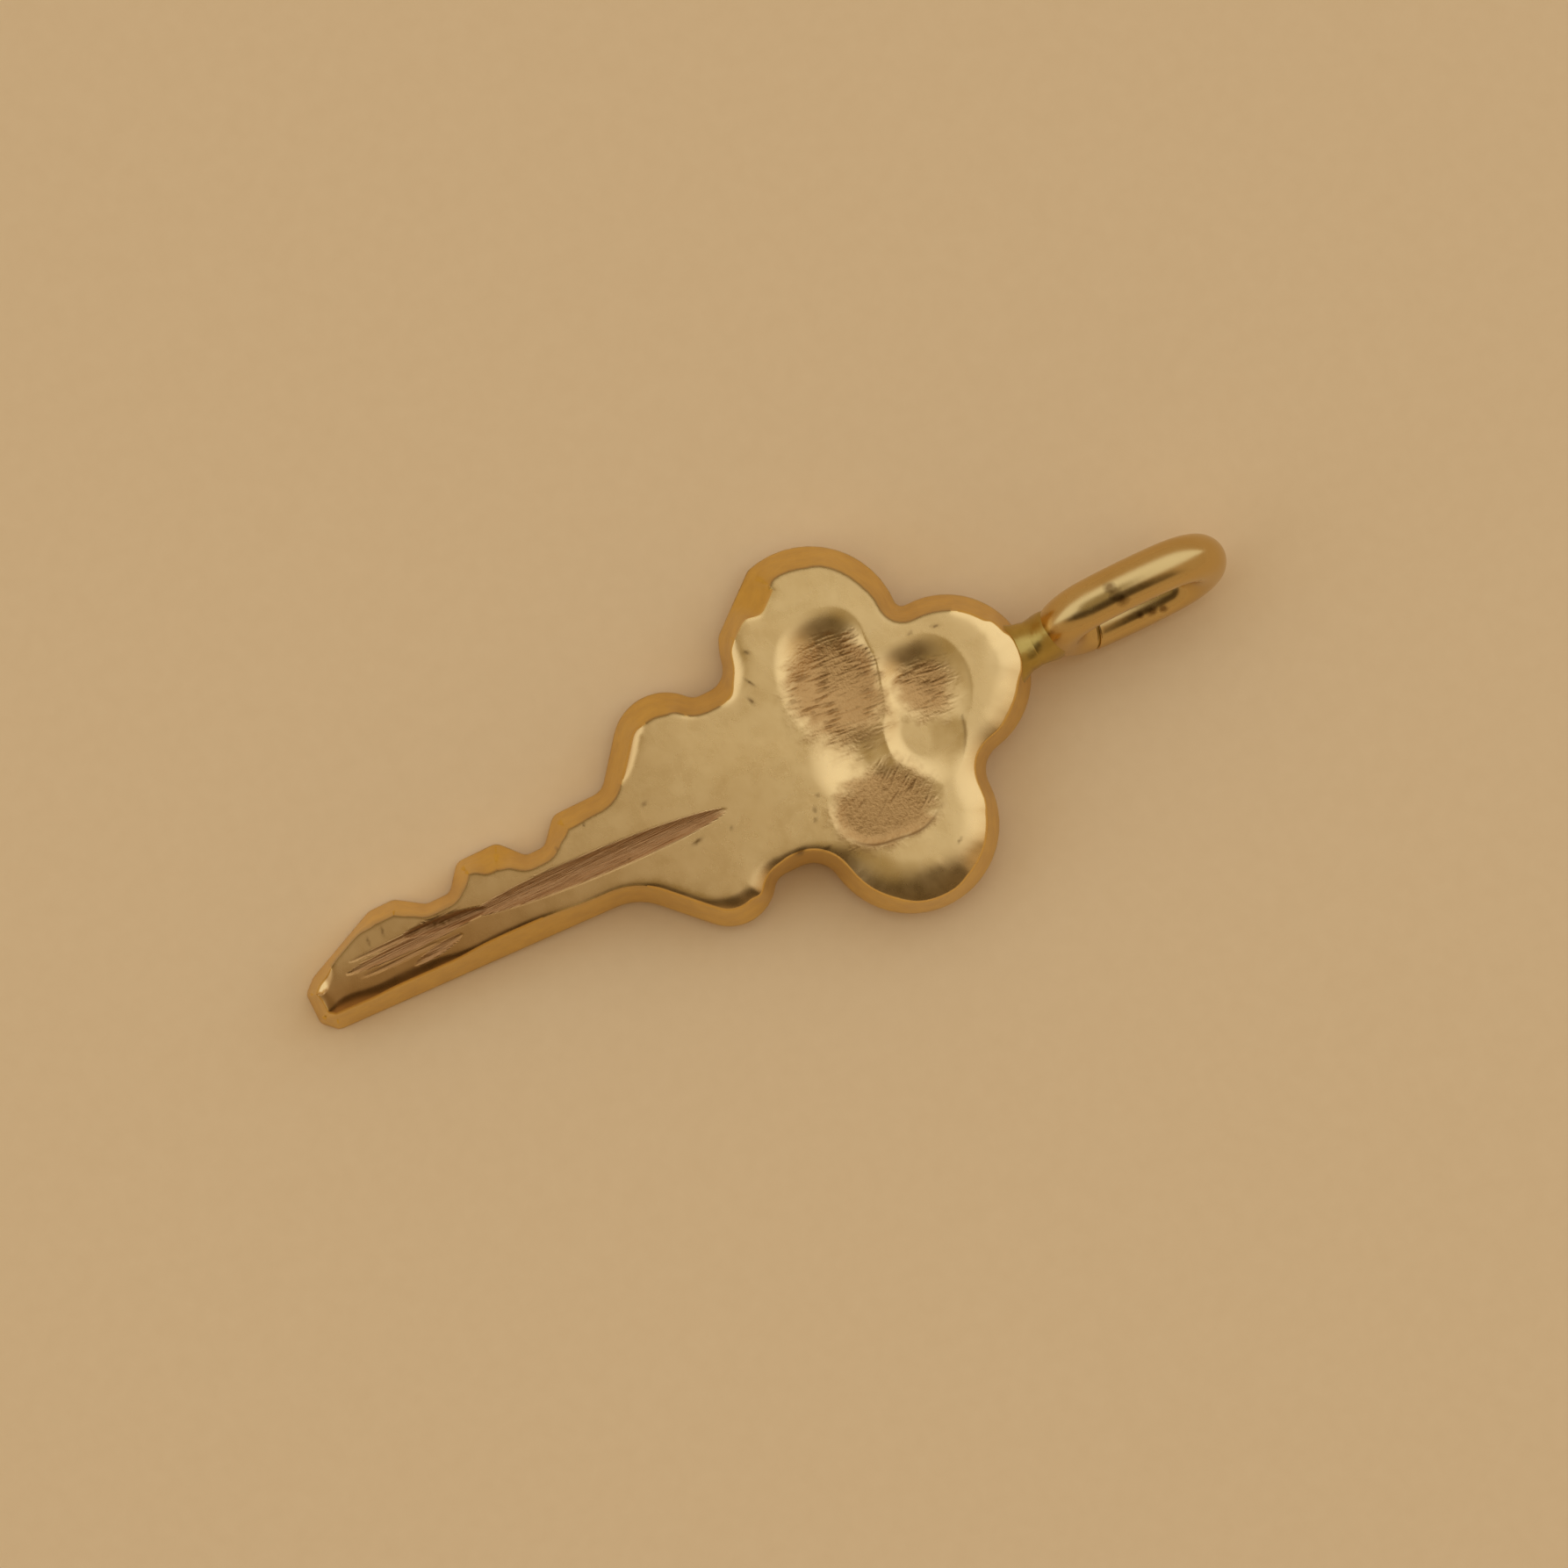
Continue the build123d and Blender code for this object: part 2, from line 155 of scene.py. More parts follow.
# Casting pits that hold polish: x, y, half length, half width, turn in degrees
PITS = (
    (-4.50, 0.45, 0.05, 0.03, 20),
    (-3.95, -0.55, 0.09, 0.035, 10),
    (-3.30, -0.60, 0.04, 0.025, 60),
    (0.20, -2.55, 0.06, 0.02, 30),
    (1.45, 1.02, 0.07, 0.022, -15),
    (1.00, 1.10, 0.05, 0.02, 10),
    (-1.85, -0.95, 0.05, 0.03, 80),
    (-1.92, -1.12, 0.04, 0.03, 40),
    (-1.70, -0.75, 0.035, 0.025, 0),
    (-1.90, 1.55, 0.10, 0.025, -60),
    (-2.02, 1.25, 0.08, 0.03, -70),
    (-1.72, 2.05, 0.06, 0.03, -40),
    (-2.40, -1.50, 0.12, 0.05, 10),
    (-1.95, -1.65, 0.08, 0.03, 0),
    (-5.15, -0.30, 0.03, 0.02, 0),
    (-6.20, 0.42, 0.07, 0.02, 75),
    (-5.60, 0.60, 0.05, 0.02, 60),
    (-9.60, 0.45, 0.08, 0.02, 80),
    (-9.90, 0.40, 0.07, 0.02, 85),
    (-8.60, 0.30, 0.06, 0.015, 80),
    (-8.55, 0.12, 0.50, 0.060, -8),
    (-9.10, 0.19, 0.25, 0.040, -8),
)

# Solder round the neck: x, half width and half height of its sections
BOW_FLOW = ((2.36, 0.60, 0.52), (2.54, 0.53, 0.49), (2.68, 0.45, 0.455), (2.88, 0.415, 0.43))
BAIL_FLOW = (
    (2.80, 0.41, 0.42), (2.90, 0.42, 0.45), (2.98, 0.43, 0.49), (3.05, 0.44, 0.54), (3.12, 0.445, 0.60),
    (3.20, 0.44, 0.66), (3.34, 0.41, 0.74),
)

# Dark patches painted on the bail: x, y, z and reach. The first three paint the camera's reflection across its
# top; the rest are dark patches on its lower side
PLIER_MARKS = (
    (4.52, 0.10, 1.83, 0.15),
    (4.48, 0.30, 1.80, 0.13),
    (4.58, -0.06, 1.76, 0.15),
    (5.02, -0.42, 0.10, 0.13),
    (5.22, -0.46, 0.08, 0.10),
    (4.80, -0.40, 0.14, 0.09),
)

# Facets filed across the face's edge: x, y and height of a place on the facet, the way it faces and its tilt
# in degrees, and how far it reaches
FILED_FACETS = (
    (-11.00, 0.17, 1.085, 146.0, 24.0, 0.22),
)

# The camera overhead, as the face mirrors it: the way to it, and the angles off that way over which it fades
LENS_WAY = (-0.26, -0.06, 1)
LENS_FADE = (25, 9)

# The dim side: the drops in radians where it ends towards the card, and the cosines of its fade sideways
DIM_END = (1.08, 0.92)
DIM_FADE = (0.42, 0.88)

SENSOR_WIDTH = 36.0


def linear_colour(hex_colour):
    """Linear RGBA of an sRGB hex colour."""
    shares = [int(hex_colour[i:i + 2], 16) / 255 for i in (1, 3, 5)]
    return [s / 12.92 if s <= 0.04045 else ((s + 0.055) / 1.055) ** 2.4 for s in shares] + [1.0]


def eased(values, low, high):
    """0 at low, 1 at high, with a smooth step between them."""
    share = np.clip((values - low) / (high - low), 0, 1)
    return share * share * (3 - 2 * share)


def wavering(points, size_x, size_y, layer):
    """Smooth noise from about -1 to 1 at each point, with its own feature size each way."""
    return np.array([noise.noise((x / size_x, y / size_y, layer)) for x, y in points])


# Casting outline
def cad_back_loop():
    """Corners of the CAD casting's flat back in millimetres, in order round its edge."""
    back = bmesh.new()
    back.from_mesh(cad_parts["key_body"].data)
    bmesh.ops.remove_doubles(back, verts=back.verts, dist=0.0001 * MM)
    under = {f.index for f in back.faces if f.normal.z < -0.99 and f.calc_center_median().z < 0.001 * MM}
    rim = [e for e in back.edges if sum(f.index in under for f in e.link_faces) == 1]
    beside = {}
    for edge in rim:
        for vertex in edge.verts:
            beside.setdefault(vertex, []).append(edge.other_vert(vertex))
    first = rim[0].verts[0]
    walk = [first, beside[first][0]]
    while walk[-1] is not first:
        walk.append(next(v for v in beside[walk[-1]] if v is not walk[-2]))
    corners = np.array([v.co[:2] for v in walk[:-1]]) / MM
    back.free()
    return corners


def even_loop(corners, spacing):
    """The loop through the corners, counter-clockwise, as points at an even spacing."""
    after = np.roll(corners, -1, axis=0)
    if np.sum(corners[:, 0] * after[:, 1] - corners[:, 1] * after[:, 0]) < 0:
        corners = corners[::-1]
    closed = np.vstack([corners, corners[:1]])
    along = np.concatenate([[0], np.cumsum(np.hypot(*np.diff(closed, axis=0).T))])
    count = int(along[-1] / spacing)
    places = np.arange(count) * along[-1] / count
    return np.column_stack([np.interp(places, along, closed[:, axis]) for axis in (0, 1)])


def softened_loop(loop, reach, spacing):
    """The loop with its corners eased by a bell-shaped running mean."""
    half = int(3 * reach / spacing)
    steps = np.arange(-half, half + 1)
    weights = np.exp(-0.5 * (steps * spacing / reach) ** 2)
    return sum(w * np.roll(loop, step, axis=0) for step, w in zip(steps, weights / weights.sum()))


def inward_normals(loop):
    """Unit vectors that point into a counter-clockwise loop."""
    along = np.roll(loop, -1, axis=0) - np.roll(loop, 1, axis=0)
    along /= np.hypot(*along.T)[:, None]
    return np.column_stack([-along[:, 1], along[:, 0]])


def knot_values(points, column):
    """A column of the edge knots, blended over the points by distance."""
    knots = np.array(EDGE_KNOTS)
    apart = ((points[:, None, :] - knots[None, :, :2]) ** 2).sum(2)
    softness = 0.02
    weights = 1 / (apart + softness) ** 2
    return (weights * knots[:, column]).sum(1) / weights.sum(1)


def nearest_on_loop(points, loop):
    """Distance from each point to the loop's line, the nearest place along the loop, and the point's side."""
    tree = KDTree(len(loop))
    for index, (x, y) in enumerate(loop):
        tree.insert((x, y, 0), index)
    tree.balance()
    index = np.array([tree.find((x, y, 0))[1] for x, y in points])
    best = None
    for first in (index - 1, index):
        start = loop[first % len(loop)]
        span = loop[(first + 1) % len(loop)] - start
        share = np.clip(((points - start) * span).sum(1) / (span**2).sum(1), 0, 1)
        away = points - start - span * share[:, None]
        side = span[:, 0] * away[:, 1] - span[:, 1] * away[:, 0]
        found = np.column_stack([np.hypot(*away.T), first + share, side])
        best = found if best is None else np.where(found[:, :1] < best[:, :1], found, best)
    return best[:, 0], best[:, 1] % len(loop), best[:, 2]


def along_loop(values, places):
    """Values of a loop read at places between its points."""
    whole = np.floor(places).astype(int)
    part = places - whole
    return values[whole % len(values)] * (1 - part) + values[(whole + 1) % len(values)] * part


# Casting surface
def stroke_place(points, start, end):
    """How far each point lies off a straight stroke, and its place along it, which is 0 and 1 at the ends."""
    start, span = np.array(start), np.subtract(end, start)
    share = ((points - start) @ span) / (span @ span)
    off = points - start - np.clip(share, 0, 1)[:, None] * span
    return np.hypot(*off.T), share


def round_values(values, turns):
    """Values that are given every 45 degrees, blended over turns in degrees."""
    ring = np.interp(np.arange(360), np.arange(0, 361, 45), [*values, values[0]])[:, None]
    ring = softened_loop(ring, 16, 1)[:, 0]
    return np.interp(turns, np.arange(361), np.append(ring, ring[0]))


def recess(points):
    """Depth of the recess, how far the burr's floor covers each point, and a line of painted shade along its
    crisp rim.
    """
    depths = []
    floor = np.zeros(len(points))
    line = np.zeros(len(points))
    ragged = 0.16 * wavering(points, 0.26, 0.15, 3.1) + 0.05 * wavering(points, 0.07, 0.05, 4.4)
    for x, y, depth, radii, crisp, flats, reaches in SCOOPS:
        off = points - (x, y)
        turns = np.degrees(np.arctan2(off[:, 1], off[:, 0])) % 360
        radius = round_values(radii, turns)
        edge = round_values(crisp, turns)
        away = np.hypot(*off.T) / radius
        flat = round_values(flats, turns)
        share = np.clip((away - flat) / (1 - flat), 0, 1)
        soft = 0.5 + 0.5 * np.cos(math.pi * share)
        sharp = 1 - share**2
        depths.append(depth * (soft + (sharp - soft) * edge))
        floor = np.maximum(floor, eased(round_values(reaches, turns) - away + ragged, -0.20, 0.26))
        # The rim's line is lost where another scoop cuts it away
        deeper = np.max([np.zeros(len(points)), *depths[:-1]], axis=0)
        # Painted shade: a dark line just inside the crisp rim
        rim = eased(edge, 0.45, 0.9) * np.exp(-(((away - 0.97) * radius / 0.028) ** 2))
        line = np.where(deeper > 0.01, line * (away > 1), np.maximum(line * (away > 1), rim))
    blend = 3
    return sum(d**blend for d in depths) ** (1 / blend), floor, line


def burr_marks(points):
    """Dents of the burr on the recess floor: short strokes, each from 0 to 1 deep.

    They run nearly along the charm in the upper scoops and slant in the low one, whose end is smooth."""
    # The points turned, so that the strokes run along X
    upper = points @ np.array([[0.995, 0.10], [-0.10, 0.995]])
    lower = points @ np.array([[0.83, -0.56], [0.56, 0.83]])
    share = eased(points[:, 1] + 0.15 * wavering(points, 0.4, 0.4, 1.7), -0.75, -0.40)
    strokes = share * wavering(upper, 0.34, 0.038, 5.0) + (1 - share) * wavering(lower, 0.36, 0.042, 6.0)
    across = share * wavering(upper, 0.16, 0.060, 15.0) + (1 - share) * wavering(lower, 0.18, 0.06, 16.0)
    patchy = eased(wavering(points, 0.50, 0.42, 6.6), -0.45, 0.35)
    low_end = points @ (0.438, 0.899) + 0.12 * wavering(points, 0.3, 0.3, 2.9)
    patchy *= eased(low_end, -1.80, -1.45)
    return (0.25 + 0.75 * patchy) * np.maximum(eased(strokes, 0.0, 0.5), 0.6 * eased(across, 0.2, 0.6))


def graver_cut(points):
    """Depth of the graver's strokes, and how far they cover each point."""
    deepest = np.zeros(len(points))
    cover = np.zeros(len(points))
    lines = wavering(points, 0.90, 0.035, 7.7)
    for x0, y0, x1, y1, half_width, depth in GRAVER_STROKES:
        gap, share = stroke_place(points, (x0, y0), (x1, y1))
        swell = np.clip(1 - (2 * share - 1) ** 2, 0, 1) ** 0.55
        width = np.maximum(half_width * swell, 1e-4)
        fill = np.clip(1 - (gap / width) ** 2, 0, 1)
        cut = depth * swell * fill + 0.006 * lines * eased(fill, 0, 0.4)
        deepest = np.maximum(deepest, cut)
        cover = np.maximum(cover, eased(fill, 0.0, 0.25) * eased(swell * depth, 0.0, 0.03))
    return deepest, cover


def pitted(points):
    """How far dark polish in a casting pit covers each point."""
    cover = np.zeros(len(points))
    for x, y, half_length, half_width, turn in PITS:
        way = np.array([math.cos(math.radians(turn)), math.sin(math.radians(turn))])
        along = (points - (x, y)) @ way
        across = (points - (x, y)) @ (-way[1], way[0])
        spread = (along / half_length) ** 2 + (across / half_width) ** 2
        cover = np.maximum(cover, np.exp(-spread) * (0.75 + 0.5 * wavering(points, 0.05, 0.05, 8.8)))
    return np.clip(cover, 0, 1)


def filed_flat(points, heights):
    """Heights with the filed facets cut across them. Past its reach, a facet leaves the metal steeply."""
    rise, ease = 6, 0.03
    for x, y, z, facing, tilt, reach in FILED_FACETS:
        way = np.array([math.cos(math.radians(facing)), math.sin(math.radians(facing))])
        plane = z - ((points - (x, y)) @ way) * math.tan(math.radians(tilt))
        plane += rise * np.maximum(np.hypot(*(points - (x, y)).T) - reach, 0)
        share = np.clip(0.5 + (plane - heights) / ease, 0, 1)
        heights = plane + (heights - plane) * share - 0.5 * ease * share * (1 - share)
    return heights


def edge_fall(gap, points):
    """How far the face drops by its edge: a rolled rim where the roll is wide, and a broad crown inside."""
    roll = knot_values(points, ROLL)
    slope = np.tan(np.radians(knot_values(points, TILT)))
    rolled = eased(roll, 0.05, 0.14)
    rim = 0.5 * slope * roll * rolled * np.clip(1 - gap / roll, 0, 1) ** 2
    reach = np.minimum(2.4 * roll, 0.95)
    return rim + 0.035 * reach * rolled * np.clip(1 - gap / reach, 0, 1) ** 3


def face_points(outline, spacing):
    """Points of a triangular grid that covers the outline's box."""
    lowest, highest = outline.min(0), outline.max(0)
    rows = np.arange(lowest[1], highest[1], spacing * math.sqrt(3) / 2)
    columns = np.arange(lowest[0], highest[0], spacing)
    x = columns[None, :] + (np.arange(len(rows)) % 2)[:, None] * spacing / 2
    y = np.repeat(rows[:, None], len(columns), axis=1)
    return np.column_stack([x.ravel(), y.ravel()])


def finely_cut(points):
    """True for points in or beside the recess, a stroke of the graver or a facet, where the mesh is finer."""
    inside = recess(points)[0] > 0
    for x0, y0, x1, y1, reach, *_ in GRAVER_STROKES:
        inside |= stroke_place(points, (x0, y0), (x1, y1))[0] < reach + 0.08
    for x, y, *_, reach in FILED_FACETS:
        inside |= np.hypot(*(points - (x, y)).T) < reach + 0.12
    return inside


# Casting mesh
def inset_row(outline, inset):
    """The outline moved in, and which of its points still lie that far from the edge."""
    row = outline + inward_normals(outline) * inset[:, None]
    return row, nearest_on_loop(row, outline)[0] > inset - ROW_SLACK


def wall_points(outline, lean, foot, crest):
    """Points of the wall's rows from the outline up to the crease, their heights, their share of wall, and
    how many of them, the last ones, are the crease."""
    parts = [outline]
    heights = [np.full(len(outline), foot)]
    shares = [np.ones(len(outline))]
    for share in WALL_ROWS:
        row, kept = inset_row(outline, lean * share)
        parts.append(row[kept])
        heights.append((foot + (crest - foot) * share)[kept])
        shares.append(np.full(kept.sum(), 1.0 if share < 1 else 0.5))
    return np.vstack(parts), np.concatenate(heights), np.concatenate(shares), len(parts[-1])


def face_grid(outline, lean, settings):
    """Points of the face: rows close inside the crease, and a grid that is finer where it is cut."""
    beside = []
    for distance in CREASE_ROWS:
        row, kept = inset_row(outline, lean + distance)
        beside.append(row[kept])
    coarse = face_points(outline, settings.face_spacing / MM)
    fine = face_points(outline, settings.cut_spacing / MM)
    grid = np.vstack([coarse[~finely_cut(coarse)], fine[finely_cut(fine)]])
    gap, place, side = nearest_on_loop(grid, outline)
    inside = (side > 0) & (gap > along_loop(lean, place) + GRID_START)
    return np.vstack([*beside, grid[inside]])


def carved_face(points, crease, top):
    """Heights of the face with its rolled edge and its cuts, and how far the burr's floor, the graver's cuts
    and dark polish with painted shade cover each point."""
    gap = nearest_on_loop(points, crease)[0]
    face = top - edge_fall(gap, points)
    face += 0.006 * wavering(points, 1.3, 1.1, 0.4) + 0.0010 * wavering(points, 0.33, 0.30, 2.2)
    hollow, floor, rim_line = recess(points)
    dents = burr_marks(points) * floor
    cut, cut_cover = graver_cut(points)
    face -= hollow + 0.013 * dents
    face = np.minimum(face, face - cut)
    # Painted reflection: a dark line along the crisp crease, where its small rounding would mirror something
    # dark
    crease_line = np.exp(-((gap / 0.025) ** 2)) * (knot_values(points, ROLL) < LINED_ROLL)
    # Dark polish in pits, painted shade along crisp creases and rims, and darker burr dents
    stain = np.maximum.reduce([pitted(points), 0.65 * crease_line, 0.75 * rim_line, 0.55 * dents])
    return face, floor, cut_cover, stain


def closed_ring(start, count):
    """Edges of a closed ring of points that are numbered in order."""
    return [(start + i, start + (i + 1) % count) for i in range(count)]


def triangles_between(points, edges):
    """Triangles inside the edges, and for each of their corners the number of the point that it came from."""
    made = delaunay_2d_cdt([Vector(p) for p in points], edges, [], 1, 1e-7)
    return [tuple(face) for face in made[2]], np.array([before[0] for before in made[3]])


def casting_mesh(settings):
    """Mesh of the casting, with two attributes for its metal. The channels of finish say burred floor,
    graver's cut, wall, and dark polish with painted shade; the other says how far the blade is browned, partly
    as painted shade."""
    spacing = settings.edge_spacing / MM
    heel = settings.heel / MM
    top = settings.face_height / MM
    outline = softened_loop(even_loop(cad_back_loop(), spacing), settings.corner_ease / MM, spacing)
    lean = knot_values(outline, LEAN)
    crest = top - edge_fall(np.zeros(len(outline)), outline)

    # The wall rises to the crease, and the face with its cuts lies inside it
    walls, rising, wall, crease_count = wall_points(outline, lean, heel, crest)
    start = len(walls) - crease_count
    grid = face_grid(outline, lean, settings)
    points = np.vstack([walls, grid])
    wall = np.concatenate([wall, np.zeros(len(grid))])
    face, floor, cut, stain = carved_face(points, walls[start:], top)
    height = np.concatenate([rising[:start], face[start:]])
    filed = filed_flat(points, height)
    fresh = eased(height - filed, 0.002, 0.015)
    height = np.maximum(filed, heel)

    # Triangles between the points, held to the outline and the crease
    edges = closed_ring(0, len(outline)) + closed_ring(start, crease_count)
    faces, source = triangles_between(points, edges)
    vertices = np.column_stack([points, height])[source]

    # Heel below the outline
    place = {before: after for after, before in enumerate(source)}
    rim = [place[i] for i in range(len(outline))]
    inward = inward_normals(outline)
    for down, along in HEEL_ROWS:
        row = len(vertices) + np.arange(len(outline))
        lower = np.column_stack([outline + inward * heel * along, np.full(len(outline), heel * (1 - down))])
        vertices = np.vstack([vertices, lower])
        faces += [(rim[i - 1], row[i - 1], row[i], rim[i]) for i in range(len(outline))]
        rim = list(row)

    # Flat back, with the slow swell of a filed surface
    inner = face_points(outline, settings.back_spacing / MM)
    gap, _, side = nearest_on_loop(inner, outline)
    inner = inner[(side > 0) & (gap > 2.5 * heel)]
    under = np.vstack([vertices[rim][:, :2], inner])
    triangles, below = triangles_between(under, closed_ring(0, len(rim)))
    numbers = rim + list(len(vertices) + np.arange(len(inner)))
    swell = 0.006 * (1 + wavering(inner, 1.4, 1.2, 9.0))
    vertices = np.vstack([vertices, np.column_stack([inner, swell])])
    faces += [tuple(numbers[below[i]] for i in reversed(triangle)) for triangle in triangles]

    mesh = bpy.data.meshes.new("key_casting")
    mesh.from_pydata(vertices * MM, [], faces)
    finish = np.tile([0.0, 0.0, 1.0, 0.0], (len(vertices), 1))
    finish[:len(source)] = np.column_stack([floor, cut, wall, stain])[source]
    attribute = mesh.attributes.new("finish", "FLOAT_COLOR", "POINT")
    attribute.data.foreach_set("color", finish.astype(np.float32).ravel())
    bright, brown = BROWNING
    worn = np.clip((bright - vertices[:, 0]) / (bright - brown), 0, 1)
    # Less browned towards +Y, so the blade is darker towards its -Y edge
    worn *= 1 - 0.35 * eased(vertices[:, 1], -0.2, 0.4)
    worn[:len(source)] *= 1 - fresh[source]
    mesh.attributes.new("worn", "FLOAT", "POINT").data.foreach_set("value", worn.astype(np.float32))

    # The crease is crisp where the face doesn't roll over it
    crisp = np.zeros(len(vertices), bool)
    crisp[:len(source)] = (wall[source] == 0.5) & (knot_values(points[source], ROLL) < CRISP_ROLL)
    pairs = np.empty(2 * len(mesh.edges), np.int32)
    mesh.edges.foreach_get("vertices", pairs)
    sharp = crisp[pairs.reshape(-1, 2)].all(1)
    mesh.attributes.new("sharp_edge", "BOOLEAN", "EDGE").data.foreach_set("value", sharp)
    return mesh


# Wire and solder
def only(piece):
    """Leaves one piece selected and active."""
    bpy.ops.object.select_all(action="DESELECT")
    piece.select_set(True)
    bpy.context.view_layer.objects.active = piece
    return piece


def wire_loop(radius, location, turn, name, segments=56):
    """A new piece that holds one circle of wire section, turned about Y, in edit mode."""
    bpy.ops.object.select_all(action="DESELECT")
    bpy.ops.mesh.primitive_circle_add(
        vertices=segments, radius=radius, location=location, rotation=(0, turn, 0)
    )
    piece = bpy.context.object
    piece.name = piece.data.name = name
    bpy.ops.object.transform_apply(location=True, rotation=True, scale=True)
    bpy.ops.object.mode_set(mode="EDIT")
    bpy.ops.mesh.select_all(action="SELECT")
    return piece


def close_ends(bevel):
    """Caps the open ends of the wire in edit mode, eases their rims and turns the faces outwards."""
    bpy.ops.mesh.select_all(action="DESELECT")
    bpy.ops.mesh.select_non_manifold()
    bpy.ops.mesh.edge_face_add()
    bpy.ops.mesh.select_all(action="DESELECT")
    bpy.ops.mesh.select_face_by_sides(number=4, type="GREATER")
    if bevel:
        bpy.ops.mesh.region_to_loop()
        bpy.ops.mesh.bevel(offset=bevel, segments=3, affect="EDGES")
    bpy.ops.mesh.select_all(action="SELECT")
    bpy.ops.mesh.normals_make_consistent(inside=False)
    bpy.ops.object.mode_set(mode="OBJECT")


def settle(piece, material, slot, *nodes):
    """Gives a finished piece its material and its place among the CAD nodes."""
    piece.data.materials.clear()
    piece.data.materials.append(material)
    only(piece)
    bpy.ops.object.shade_smooth()
    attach(piece, "root")
    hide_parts(*nodes)


# Materials
def add_node(tree, kind, inputs=None, **settings):
    """Adds a node with its settings, and sets or links its inputs. Those of a Mix node go by number, because
    its names repeat: 0 is the share, 2 and 3 are the values, and 6 and 7 the colours."""
    node = tree.nodes.new(kind)
    for name, value in settings.items():
        setattr(node, name, value)
    for name, value in (inputs or {}).items():
        if isinstance(value, bpy.types.NodeSocket):
            tree.links.new(value, node.inputs[name])
        else:
            node.inputs[name].default_value = value
    return node


def metal_start(name):
    """A new metal material: its node tree, its shader and its object coordinates."""
    material = bpy.data.materials.new(name)
    material.use_nodes = True
    tree = material.node_tree
    shader = tree.nodes["Principled BSDF"]
    shader.inputs["Metallic"].default_value = 1.0
    place = add_node(tree, "ShaderNodeTexCoord").outputs["Object"]
    return material, tree, shader, place


